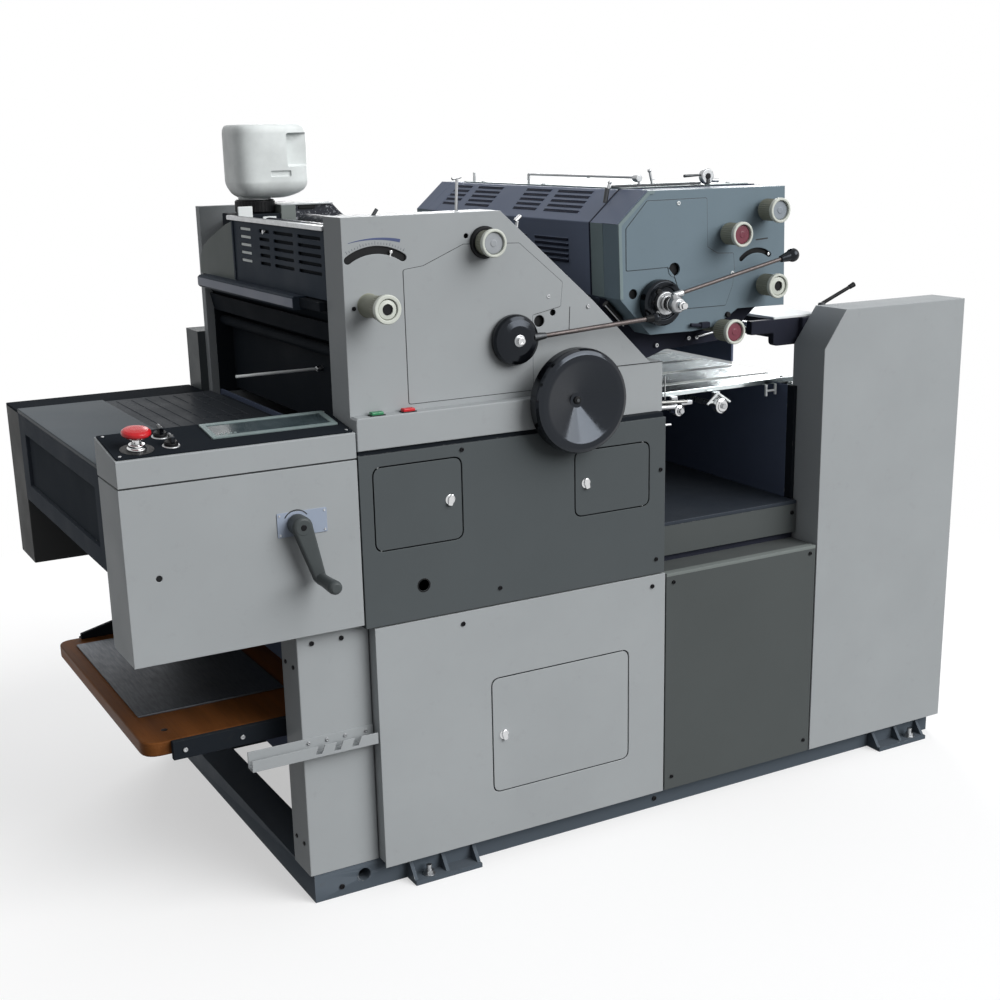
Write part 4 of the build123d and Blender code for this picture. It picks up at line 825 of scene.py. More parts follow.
def cover(outline, y_front, y_back, holes=(), skirt=None):
    """A folded sheet cover: a front with holes and a rim round its edge."""
    front = slab(skirt or outline, y_front, y_front + 3, holes=holes, edge=1.3, steps=3)
    rim = slab(inset(outline, 0.3), y_front + 1.6, y_back, holes=[inset(outline, 3)], edge=0.2)
    return [front, rim]


def shaft_holes(places, sides):
    return [circle(x, z, radius + 6, sides) for x, z, radius in SHAFTS if (x, z) in places]


def above(outline, low):
    """The outline with its foot raised to a height."""
    return [(x, max(z, low)) for x, z in outline]


# The pieces

class PRESS_OT_stage(Operator):
    """Adds the floor, the soft lights and the camera"""
    bl_idname = "press.stage"
    bl_label = "Stage"

    def execute(self, context):
        context.scene.view_settings.view_transform = "Standard"
        self.floor()
        self.world(context.scene)
        self.lamps(context.scene)
        self.camera(context.scene)
        return {"FINISHED"}

    def floor(self):
        bm = bmesh.new()
        bmesh.ops.create_grid(bm, x_segments=1, y_segments=1, size=14)
        mesh = as_mesh(bm, False)
        floor = bpy.data.objects.new("floor", mesh)
        bpy.context.scene.collection.objects.link(floor)
        kit = Nodes("pale floor")
        direct = kit.either("Is Camera Ray", "Is Glossy Ray", "Is Transmission Ray")
        kit.set(Base_Color=kit.blend(direct, srgb(112, 112, 112), (0.97, 0.97, 0.97)))
        kit.set(Roughness=0.9, Specular_IOR_Level=0.1)
        length = kit.add("ShaderNodeVectorMath", {0: kit.where}, operation="LENGTH")
        far = kit.maths("MULTIPLY", direct, kit.span(length.outputs["Value"], 1.5, 2.8, 0.5, 1))
        white = kit.add("ShaderNodeEmission")
        kit.feed(kit.output.inputs["Surface"], kit.mix(far, kit.shader.outputs[0], white.outputs[0]))
        mesh.materials.append(kit.material)

    def world(self, scene):
        """White to the eye, in metal and in glass; as light it is soft and brighter from above."""
        scene.world = bpy.data.worlds.new("soft room")
        scene.world.use_nodes = True
        kit = Tree(scene.world.node_tree)
        where = kit.add("ShaderNodeTexCoord").outputs["Generated"]
        height = kit.add("ShaderNodeSeparateXYZ", {0: where}).outputs["Z"]
        light = {"Color": (0.97, 0.98, 1.0), "Strength": kit.span(height, -0.1, 0.9, 0.08, 0.62)}
        plain = kit.add("ShaderNodeBackground", light).outputs[0]
        white = kit.add("ShaderNodeBackground", {"Color": (1, 1, 1)}).outputs[0]
        direct = kit.either("Is Camera Ray", "Is Transmission Ray", "Is Glossy Ray")
        kit.add("ShaderNodeOutputWorld", {"Surface": kit.mix(direct, plain, white)})

    def lamps(self, scene):
        sun = bpy.data.lights.new("window light", "SUN")
        sun.energy = 2.85
        sun.angle = math.radians(50)
        lamps = [(sun, (4.0, -5.5, 4.2), (0, 0, 0))]
        for name, place, aim, size, power in (("front", (1.9, -4.6, 3.0), (0, -0.3, 0.8), 2.4, 40),
                                              ("back", (2.4, 4.0, 2.6), (0, 0, 0.8), 2.8, 140)):
            lamp = bpy.data.lights.new(name, "AREA")
            lamp.shape = "SQUARE"
            lamp.size = size
            lamp.energy = power
            lamps.append((lamp, place, aim))
        for lamp, place, aim in lamps:
            holder = bpy.data.objects.new(lamp.name, lamp)
            holder.location = place
            holder.rotation_euler = (Vector(aim) - Vector(place)).to_track_quat("-Z", "Y").to_euler()
            scene.collection.objects.link(holder)

    def camera(self, scene):
        camera = bpy.data.cameras.new("camera")
        camera.sensor_fit = "HORIZONTAL"
        camera.sensor_width = 36.0
        camera.lens = 52.57
        camera.shift_x = -0.02235
        camera.shift_y = 0.0458
        camera.clip_end = 60
        right = Vector((0.86594578, -0.49985836, -0.01671915))
        down = Vector((-0.15016005, -0.2279571, -0.96202262))
        ahead = Vector((0.4770638, 0.83556997, -0.27245725))
        turn = Matrix((right, -down, -ahead)).transposed()
        holder = bpy.data.objects.new("camera", camera)
        holder.matrix_world = Matrix.Translation((-1.679, -3.032, 1.547)) @ turn.to_4x4()
        scene.collection.objects.link(holder)
        scene.camera = holder


class PRESS_OT_base(Operator):
    """Makes the base frame with its floor brackets and bolts"""
    bl_idname = "press.base"
    bl_label = "Base"

    def execute(self, context):
        base = Piece("base_frame", "base_slate")
        base.own_shape("base enamel", 3.0, 3)
        for x in (0, 829.5, 1659):
            for y in (93, 863):
                weld = [(x + 4, y, 59), (x + 40, y + 0.6, 58.6), (x + 76, y, 59)]
                base.add("base enamel", bent_bar(weld, 2.6, 8))
        hole_rim = [(14.6, -0.6), (17, -0.6), (17.4, 0.4), (14.6, 0.4)]
        base.add("base enamel", ring(hole_rim, (112, 0, 36), sides=28, soft=0.3))
        base.screws("black screw", -0.4, ((60, 22), (860, 22), (1680, 22)), 6, 2.4)
        base.done()
        brackets = Piece("floor_brackets", "base_slate")
        brackets.own_shape("base enamel", 1.2)
        for x in (252, 1652):
            for mesh in (*hex_bolt((x, -27, 10), (0, 0, 1), 11, 8, 14),
                         rod((x, -27, 16), (x, -27, 32), 6, 14)):
                brackets.add("zinc", *on_both_sides(mesh))
        brackets.done()
        return {"FINISHED"}


class PRESS_OT_frames(Operator):
    """Makes the side frames, the cross walls and the two delivery columns"""
    bl_idname = "press.frames"
    bl_label = "Frames and columns"

    def execute(self, context):
        holes = [circle(x, z, radius + 0.6, 32) for x, z, radius in SHAFTS]
        frames = Piece("side_frames", "frame_dark")
        frames.add("head black", slab(SIDE_FRAME, FRAME_Y, FRAME_BACK_Y, holes=holes, edge=1.5))
        frames.add("light enamel", slab(SIDE_FRAME, INNER_FAR_Y, FAR_FRAME_Y, edge=1.5))
        # The black sheet low on the far frame's inner face is painted shade, for the shadowed inside under
        # the guide bar
        far_shade_sheet = slab(rectangle(158, 480, 944, 1240), INNER_FAR_Y - 3, INNER_FAR_Y + 1, edge=0.5)
        frames.add("machine black", far_shade_sheet)
        frames.screws("black screw", FRAME_Y, [(x, z) for x in (210, 800, 1250) for z in (120, 520)], 7, 5)
        frames.screws("zinc", FRAME_Y, ((895, 1088), (982, 1097), (1004, 1097)), 5, 7)
        frames.done()
        walls = Piece("cross_walls", "dark_grey")
        walls.own_shape("wall dark", 0.8)
        walls.add("machine black", box((1300, 1309), (62, 90), (680, 955), 0.5))
        walls.done()
        self.columns()
        return {"FINISHED"}

    def columns(self):
        columns = Piece("delivery_columns", "light_grey")
        for put, shoulder, top in ((columns.add, 590, 599), (columns.add_far, 587, 587)):
            put("light enamel", slab(rectangle(-8, 148, 0, 90, 3), 63, shoulder, "Z", edge=1.2))
            put("steel", box((50, 90), (89, 96.7), (63, top), 1.0))
            if top > shoulder:
                put("machine black", box((-8, 125), (0.5, 90), (shoulder - 2, top), 0.5))
            put("machine black", box((-6, 146), (1, 89), (62.6, 66), 0.6))
            columns.screws("black screw", 0, ((24, 572), (88, 572)), put=put)
            for z in (110, 300, 470, 560):
                put("black screw", turned([(3.4, 0), (3.4, 1.2)], (70, 95.6, z), sides=14, soft=0.2))
            for z in (130, 520):
                put("black screw", *[screw(-8, z, y, 4.5, 3.0, (1, 0, 0)) for y in (24, 66)])
        columns.done()


class PRESS_OT_covers(Operator):
    """Makes the operator side's lower, middle and right covers"""
    bl_idname = "press.covers"
    bl_label = "Covers"

    def execute(self, context):
        lower = Piece("lower_cover", "light_grey")
        body = rectangle(150, 865, 63, 587)
        self.fold(lower, "light enamel", body, rectangle(150, 865, 52, 587), ["lower_door"])
        lower.screws("black screw", COVER_Y, ((350, 562), (829, 562)))
        lower.done()

        middle = Piece("middle_cover", "dark_grey")
        self.fold(middle, "middle enamel", rectangle(131, 862, 590, 944), None,
                  ["middle_left_door", "middle_right_door"], [circle(263, 661, 12)])
        middle.screws("black screw", COVER_Y, ((358, 932), (849, 828), (839, 624), (440, 625)), 4.5)
        collar = [(12.2, -0.7), (14.6, -0.7), (15, 0.4), (12.2, 0.4)]
        middle.add("matt black", ring(collar, (263, COVER_Y, 661), sides=32, soft=0.3))
        middle.add("machine black", box((134, 860), (-22, 30), (943, 953), 0.4))
        middle.done()

        right = Piece("right_panel", "dark_grey")
        self.fold(right, "panel enamel", rectangle(868, 1305, 63, 584), rectangle(868, 1305, 52, 580))
        # The pale lip along the top is a painted highlight, the light caught by the edge under the shelf
        right.add("panel edge", box((868.4, 1304.6), (-30.6, -10), (576, 584), 1.2))
        right.screws("black screw", COVER_Y, ((888, 562), (1288, 566), (888, 84), (1288, 84)), 4.5)
        right.done()
        return {"FINISHED"}

    def fold(self, piece, paint, outline, skirt, doors=(), holes=()):
        """The folded tray with its door openings, and the lugs that carry the doors' pins."""
        lugs = []
        openings = []
        for name in doors:
            (left, right, bottom, top), side = DOORS[name][:2]
            openings.append(rectangle(left - 5, right + 5, bottom - 5, top + 5, 20))
            x = right - 10 if side > 0 else left + 10
            for span in ((bottom - 19, bottom - 9), (top + 9, top + 19)):
                lugs.append(box((x - 8, x + 8), (-27.2, -15), span, 0.8))
        piece.add(paint, *cover(outline, COVER_Y, FRAME_Y, [*openings, *holes], skirt), *lugs)


class PRESS_OT_doors(Operator):
    """Makes the three access doors with their latches and hidden pivot pins"""
    bl_idname = "press.doors"
    bl_label = "Access doors"

    def execute(self, context):
        for name, (door, side, paint, slot) in DOORS.items():
            left, right, bottom, top = door
            middle = (bottom + top) / 2
            pin = right - 10 if side > 0 else left + 10
            latch = left + 24 if side > 0 else right - 24
            piece = Piece(name, slot, name + "_body")
            leaf = rectangle(left - 2.5, right + 2.5, bottom - 2.5, top + 2.5, 18)
            piece.add(paint, slab(leaf, COVER_Y, COVER_INSIDE_Y, edge=0.9))
            piece.add("zinc", rod((pin, -23, bottom - 27), (pin, -23, top + 27), 3, 20))
            for z in (bottom + 30, top - 30):
                piece.add("zinc", box((pin - 5, pin + 5), (-27.2, -21.5), (z - 8, z + 8), 1))
            boss = [(8.5, -2.2), (11, -0.8), (11, 0.5)]
            piece.add("polished", turned(boss, (latch, COVER_Y, middle), sides=32, soft=0.5))
            corners = ((-5, -12), (5, -12), (6.5, 3), (2.5, 12), (-2.5, 12), (-6.5, 3))
            wing = rounded([(latch + x, middle + z) for x, z in corners], 2.5)
            wing = slab(wing, COVER_Y - 6.6, COVER_Y - 2, edge=1.6, steps=3)
            piece.add("polished", turned_about(wing, (latch, 0, middle), "Y", -14 * side))
            piece.add("zinc", box((latch - 3, latch + 3), (-27.2, -14), (middle - 14, middle + 14), 1))
            piece.done()
        return {"FINISHED"}


def slot_pointer(piece, slot, angle, depth, radius):
    """The bright pin that stands in a curved slot; its place is given back."""
    x, z = on_circle(*slot[:3], math.radians(angle))
    piece.add("polished", rod((x, -1.5, z), (x, depth, z), radius, 16))
    return x, z


class PRESS_OT_unit_one(Operator):
    """Makes the first unit's side cover, ledge and closed body"""
    bl_idname = "press.unit_one"
    bl_label = "Printing unit one"

    def execute(self, context):
        self.cover()
        ledge = Piece("button_ledge", "light_grey")
        outline = [(131, 954), (131, 1015), (135, 1019), (538, 1019), (540, 1017), (540, 954)]
        ledge.add("light enamel", slab(outline, COVER_Y, 1, edge=2.2, steps=4))
        for x, paint in ((168, "push green"), (236, "red plastic")):
            ledge.add("matt black", box((x - 3, x + 29), (-24, -6), (1018, 1021), 1.0))
            ledge.add(paint, box((x, x + 26), (-22.5, -7.5), (1019, 1026.6), 2.2, 3))
        ledge.done()
        self.body()
        return {"FINISHED"}

    def cover(self):
        side = Piece("unit_one_cover", "light_grey")
        holes = [arc_band(*SLOT_ONE), *shaft_holes((HANDWHEEL, LEFT_LEVER, ADJUSTER, DIAL), 40)]
        sockets = ((562, 1172, 12), (595, 1187, 6.5), (397, 1352, 5))
        holes += [circle(x, z, radius, 28) for x, z, radius in sockets]
        side.add("light enamel", *cover(UNIT_ONE, 0, FRAME_BACK_Y, holes))
        # Black sheets just behind the slot and the sockets are painted shade, so that these show dark inside
        side.add("matt black", slab(rectangle(136, 300, 1290, 1352), 5, 7))
        for x, z, radius in ((562, 1172, 18), (595, 1187, 12), (397, 1352, 10)):
            side.add("matt black", slab(circle(x, z, radius, 24), 9, 11))
        x, z = slot_pointer(side, SLOT_ONE, 72, 5, 3.2)
        side.add("polished", line_on([(x, z), (x - 3, z - 9)], 0.6, 2.2, 1.4))
        scale = arc_band(199, 1112, 244, 6.5, 77.2, 103, False, 0.8)
        side.add("print blue", slab(scale, -0.35, 0.4, edge=0.1))
        side.add("print grey", ticks(*SLOT_ONE[:2], 117, 4, 60, 120, 21, 0))
        panel = rounded([(257, 1294), (300, 1299), (390, 1336), (517, 1332), (618, 1248), (613, 1199),
                         (545, 1186), (545, 1031), (259, 1031)], 5, 4)
        side.add("seam", slab(inset(panel, -1.1), -0.25, 0.6, edge=0.1))
        side.add("light enamel", slab(panel, -1.3, 0.4, edge=0.55))
        side.add("seam", line_on([(636, 1196), (634, 1150)], 0, 1.6),
                 line_on([(702, 1061), (872, 1061)], 0, 2.2))
        side.screws("zinc", 0, ((584, 1221), (681, 1194)), 4.2, 2.6)
        side.screws("black screw", 0, [(150, 1227)], 4.2, 2.6)
        side.add("print grey", ticks(*LEFT_LEVER, 57, 4, 20, 200, 25, 0, 0.9))
        side.add("print grey", line_on(arc_points(*LEFT_LEVER, 56, 20, 200, 30), 0, 0.7, 0.3))
        side.done()

    def body(self):
        body = Piece("unit_one_housing", "frame_dark")
        body.own_shape("machine black", 1.5)
        apron = slab(rectangle(87, 869, 1146, 1186), 150, 153, "X", edge=0.8)
        body.add("machine black", turned_about(apron, (150, 0, 1186), "Y", -12))
        body.add("machine black", rod((182, 87, 1120), (182, 869, 1120), 12, 28))
        fountain = [(290, 1360), (290, 1396), (387, 1396), (414, 1368), (414, 1360)]
        body.add("inked roller", slab(fountain, 648, 840, edge=1.2))
        body.add("matt black", box((303, 344), (645, 650), (1385, 1394), 1))
        body.add("panel edge", box((258, 294), (640, 690), (1352, 1397), 2))
        body.add("light enamel", box((258, 386), (640, 700), (1394.6, 1397.6), 0.8))
        body.add("plate white", rod((8, 300, 1070), (196, 300, 1070), 3.2, 16))
        body.add("zinc", turned([(5, 0), (6, 3), (6, 14)], (186, 300, 1070), (1, 0, 0), 24, 0.5))
        body.done()


class PRESS_OT_unit_one_top(Operator):
    """Makes the first unit's rollers, guard, guide bar and water bottle"""
    bl_idname = "press.unit_one_top"
    bl_label = "Top of unit one"

    def execute(self, context):
        rollers = Piece("top_rollers", "rubber_roller")
        for x, z, radius in ((214, 1352, 20), (302, 1353, 24), (384, 1352, 20)):
            rims = [(9, 0), (9, 14), (radius, 14), (radius, 514), (9, 514), (9, 528)]
            rollers.add("inked roller", turned(rims, (x, 86, z), sides=48, soft=1.2))
            for y in (86, 602):
                rollers.add("zinc", box((x - 13, x + 13), (y, y + 12), (z - radius, z + 13), 2))
        rollers.add("steel", *[rod((x, 86, 1360), (x, 614, 1360), 6, 20) for x in (258, 344)])
        rollers.done()
        self.guard()
        self.bottle()
        return {"FINISHED"}

    def guard(self):
        plate = rectangle(86.5, 612, 1236, 1372)
        row_tops = [1357 - 17 * row for row in range(5)]
        holes = [rectangle(start, start + width, z - 7, z, 3.3) for z in row_tops
                 for start, width in ((104, 120), (250, 110), (386, 60), (500, 66))]
        guard = Piece("slotted_guard", "hood_dark")
        guard.add("guard enamel", slab(plate, 131, 134, "X", holes=holes, edge=0.8),
                  slab(inset(plate, 4), 141, 142, "X", edge=0.3))
        # The pale strips in the last slot of each row are painted reflection, the light seen through the
        # slots
        guard.add("tape grey", *[box((132, 133.4), (502, 564), (z - 6.4, z - 0.8), 0.3) for z in row_tops])
        cheek = [(613, 1236), (613, 1370), (612, 1368), (670, 1356), (730, 1338), (790, 1319), (840, 1300),
                 (862, 1278), (870, 1236)]
        guard.add("panel edge", slab(cheek, 133, 136.5, "X", edge=0.8))
        guard.add("guard enamel", slab(rectangle(606, 616, 1238, 1374), 128, 136, "X", edge=1.2))
        guard.add("zinc", box((126, 141), (87, 640), (1369, 1379), 2.4, 3))
        guard.add("zinc", turned([(4, -2), (5, -1), (5, 3)], (131, 420, 1352), (1, 0, 0), 24, 0.4))
        guard.done()
        bar = Piece("guide_bar", "steel")
        strip = [(105, 1212), (105, 1232), (109, 1236), (137, 1236), (137, 1208), (109, 1208)]
        bar.add("guard enamel", slab(strip, 205, 812, edge=1.2, steps=3))
        bar.add("bar grey", slab(rectangle(205, 812, 1213, 1231), 104.4, 106, "X", edge=0.4))
        bar.add("machine black", box((120, 137), (100, 262), (1214, 1232), 1.2))
        bar.done()

    def bottle(self):
        """The square bottle, narrowing to its neck, upside down on its stand."""
        centre_x, centre_y, low, neck_x = 249, 700, 1412, 218
        rows = ((0, 0.52), (2, 0.62), (6, 0.73), (11, 0.83), (17, 0.905), (24, 0.96), (32, 0.99), (38, 1.0),
                (142, 1.0), (151, 0.99), (157, 0.96), (161, 0.92), (162, 0.87))
        bm = bmesh.new()
        rings = []
        for rise, share in rows:
            verts = []
            shift = 31 * max(0, 1 - rise / 20) ** 1.5
            for turn in turns(72):
                u, v = math.cos(turn), math.sin(turn)
                x = centre_x - shift * 0.4 + 86 * share * math.copysign(abs(u) ** 0.5, u)
                y = centre_y + 77 * share * math.copysign(abs(v) ** 0.5, v)
                verts.append(bm.verts.new((x, y, low + rise)))
            rings.append(verts)
        for first, second in zip(rings, rings[1:]):
            for i in range(72):
                bm.faces.new((first[i], first[(i + 1) % 72], second[(i + 1) % 72], second[i]))
        bm.faces.new(rings[0])
        bm.faces.new(rings[-1])
        bmesh.ops.recalc_face_normals(bm, faces=bm.faces[:])
        grip = [box((274, 352), (590, 644), (1480, 1555), 6, 4),
                box((233, 282), (590, 628), (1459, 1473), 3, 3)]
        neck = (neck_x, centre_y, low)
        bottle = Piece("water_bottle", "white_plastic")
        bottle.add("bottle", carved(as_mesh(bm), grip))
        bottle.add("bottle", turned([(36, -5), (38, 2), (30, 8)], neck, (0, 0, 1), 48, 1.0))
        cap = [(43, -32.8), (45, -30), (45, -6), (42, -3.4)]
        bottle.add("matt black", turned(cap, neck, (0, 0, 1), 56, 1.0))
        for x, y in circle(neck_x, centre_y, 44.4, 36):
            bottle.add("matt black", rod((x, y, low - 30), (x, y, low - 7), 1.4, 6, edge=0))
        bottle.done()
        stand = Piece("bottle_stand", "steel")
        stand.add("machine black", box((158, 278), (644, 760), (1340, 1378), 2.0, 3))
        stand.add("plate white", box((156, 190), (640, 646), (1345, 1396)),
                  box((214, 246), (640, 646), (1350, 1372)))
        stand.done()


class PRESS_OT_handwheel(Operator):
    """Makes the dished handwheel with its hub bolt and shaft"""
    bl_idname = "press.handwheel"
    bl_label = "Handwheel"

    def execute(self, context):
        centre = (HANDWHEEL[0], 0, HANDWHEEL[1])
        dish = [(16, -57), (18, -58), (84, -85), (88, -86), (98, -86), (106, -82), (110, -73), (110, -52),
                (106, -45), (98, -42), (36, -42), (32, -38), (32, -23), (30, -21), (15, -21), (15, 84)]
        wheel = Piece("handwheel", "black_plastic", "handwheel_body")
        wheel.add("wheel black", turned(dish, centre, sides=128, soft=1.6))
        wheel.add("matt black", turned([(7, -61), (8.5, -59.5), (8.5, -56)], centre, sides=32, soft=0.6))
        wheel.add("dark iron", turned([(3.6, -62.6), (3.9, -62), (3.9, -60)], centre, sides=24, soft=0.3))
        wheel.done(centre)
        return {"FINISHED"}


class PRESS_OT_levers(Operator):
    """Makes the two impression levers with their discs, rods and balls"""
    bl_idname = "press.levers"
    bl_label = "Levers"

    def execute(self, context):
        self.left()
        self.right()
        return {"FINISHED"}

    def along(self, lever, angle):
        """Places on a lever: how far along it, at what y, and how far across it."""
        def place(reach, y, across=0.0):
            x, z = on_circle(*on_circle(*lever, reach, math.radians(angle)), across, math.radians(angle + 90))
            return x, y, z
        return place

    def left(self):
        centre = (LEFT_LEVER[0], 0, LEFT_LEVER[1])
        place = self.along(LEFT_LEVER, 4.3)
        lever = Piece("left_lever", "black_plastic", "left_lever_body")
        dome = [(0, -32), (14, -31.8), (30, -30.6), (42, -28), (49, -23.5), (52, -17), (52, -6), (50, -4),
                (14, -4), (12, -3), (12, 84), (0, 84)]
        lever.add("black plastic", ring(dome, centre, sides=96, soft=0.6))
        lever.add("zinc", turned([(11, -33.5), (12.4, -32.8), (12.4, -31)], centre, sides=36, soft=0.3))
        nut = [(3.4, -41), (3.6, -42), (7.4, -42), (8.4, -41), (8.4, -33)]
        lever.add("polished", turned(nut, centre, sides=28, soft=0.5))
        lever.add("dark iron", rod(place(38, -22), place(66, -24.4), 9.5, 28, 6.5, 1.0))
        lever.add("rod brown", rod(place(60, -24), place(312, -46), 5.0))
        lever.add("matt black", rod(place(300, -45), place(318, -46.4), 6.4, 20, 8.4, 0.8))
        lever.add("black plastic", ball(place(326, -47), 11))
        lever.done()

    def right(self):
        centre = (RIGHT_LEVER[0], 0, RIGHT_LEVER[1])
        place = self.along(RIGHT_LEVER, 12.4)
        lever = Piece("right_lever", "black_plastic", "right_lever_body")
        disc = [(34, -26), (36, -30), (45, -30), (49, -26), (49, -6), (47, -4), (14, -4), (12, -3), (12, 84)]
        lever.add("black plastic", turned(disc, centre, sides=96, soft=0.8))
        for angle, size, paint in ((118, 7, "matt black"), (175, 4, "black screw"), (232, 5, "polished"),
                                   (290, 4, "black screw")):
            x, z = on_circle(*RIGHT_LEVER, 27, math.radians(angle))
            head = [(size - 1.4, -29), (size, -28), (size, -25)]
            lever.add(paint, turned(head, (x, 0, z), sides=24, soft=0.4))
        clamp = [(23, -39), (25, -37), (25, -27)]
        sleeve = [(14, -66), (15, -64), (15, -42), (14, -39)]
        lever.add("zinc", turned(clamp, centre, sides=44))
        lever.add("matt black", turned(sleeve, centre, sides=40))
        for y in (-44, -60):
            band = [(14, y - 3), (16.6, y - 3), (17, y - 2), (17, y + 2), (16.6, y + 3), (14, y + 3)]
            lever.add("polished", ring(band, centre, sides=40, soft=0.4))
        cap = [(13, -86), (15.4, -83), (17.4, -79), (17.4, -68), (15, -65)]
        lever.add("zinc", turned(cap, centre, sides=44, soft=1.0))
        lever.add("polished", turned([(8, -99), (9.6, -97), (9.6, -86)], centre, sides=36))
        lever.add("polished", *hex_bolt((centre[0], -98.5, centre[2]), (0, -1, 0), 7.6, 7))
        lever.add("zinc", rod(place(-1, -73), place(0, -73, 24), 8.4, 28, None, 1.2))
        lever.add("zinc", rod(place(-4, -72, 20.5), place(20, -72.8, 20.5), 7.2, 28, None, 1.0))
        lever.add("rod brown", rod(place(10, -72.4, 20.5), place(304, -81.6, 20.5), 4.2))
        lever.add("black plastic", rod(place(282, -81, 20.5), place(304, -81.7, 20.5), 7.2, 28, 11.4, 1.0))
        lever.add("black plastic", ball(place(315, -82, 20.5), 15, 40, 20))
        lever.done()


def knob(name, node, body, slot, place, radius, front, length, face, hole=0.0, stem=13, rim=6.0, collar=None):
    """A knob with a pale ring about a recessed face or a hole, a body painted darker as shade, a stem and its
    shaft.
    """
    centre = (place[0], 0, place[1])
    back = front + length
    inner = radius - rim
    side = radius - 4
    piece = Piece(node, slot, body, name)
    lip = [(inner, front + 7.5), (inner, front + 1.2), (inner + 1, front), (radius - 1.6, front),
           (radius, front + 1.6), (radius, front + 9), (radius - 1, front + 10), (inner, front + 10)]
    piece.add("knob ring", ring(lip, centre, sides=64, soft=0.6))
    # The body and its ribs take the knob sides' painted shade: the ring's plastic darkened
    grip = [(side, front + 7), (side, back - 2), (side - 1.4, back), (stem, back), (stem, -1), (8, -1),
            (8, 84)]
    piece.add("knob side", turned(grip, centre, sides=64, soft=0.6))
    for x, z in circle(*place, side - 0.3, 32):
        piece.add("knob side", rod((x, front + 11, z), (x, back - 3, z), 1.1, 6, edge=0))
    if hole:
        bush = [(hole, front + 2), (inner - 1.5, front + 3.4), (inner - 1.5, front + 8), (hole, front + 8)]
        piece.add("knob ring", ring(bush, centre, sides=48, soft=0.5))
        floor = [(hole + 0.5, front + 5.6), (hole + 0.5, front + 7.4)]
        piece.add("matt black", turned(floor, centre, sides=28, soft=0.1))
    else:
        dish = [(0, front + 4.2), (inner - 3, front + 4.6), (inner - 0.6, front + 5.8),
                (inner - 0.6, front + 7.5), (0, front + 7.5)]
        piece.add(face, ring(dish, centre, sides=48, soft=0.6))
        button = [(6, front + 3.4), (7.4, front + 4), (7.4, front + 5)]
        piece.add(face, turned(button, centre, sides=32, soft=0.4))
    if collar:
        paint, profile, sides = collar
        piece.add(paint, ring(profile, centre, sides=sides))
    piece.done()


class PRESS_OT_knobs(Operator):
    """Makes the adjuster, the dial and the four roller knobs"""
    bl_idname = "press.knobs"
    bl_label = "Knobs and dial"

    def execute(self, context):
        # The adjuster's sleeve has the same painted shade as the knob sides
        sleeve = [(15, -61), (20, -60), (22, -57), (22, -2), (24, -0.5), (15, -0.5)]
        knob("adjuster_piece", "adjuster_knob", "adjuster_body", "cream_plastic", ADJUSTER, 28, -90, 34,
             "dial grey", 11, 16, 8, ("knob side", sleeve, 48))
        washer = [(25, -10), (30.5, -10), (32, -8), (32, -1.2), (25, -1.2)]
        knob("dial_piece", "dial", "dial_body", "cream_plastic", DIAL, 28, -46, 36, "dial grey", 0, 24, 6.0,
             ("matt black", washer, 56))
        for letter, place in ROLLER_KNOBS.items():
            node = "roller_knob_" + letter
            red = letter in "bd"
            knob(node + "_piece", node, "knob_" + letter + "_body", "red_plastic" if red else "cream_plastic",
                 place, 27, -62, 54, "knob red" if red else "knob blue", 11 if letter == "c" else 0)
        return {"FINISHED"}


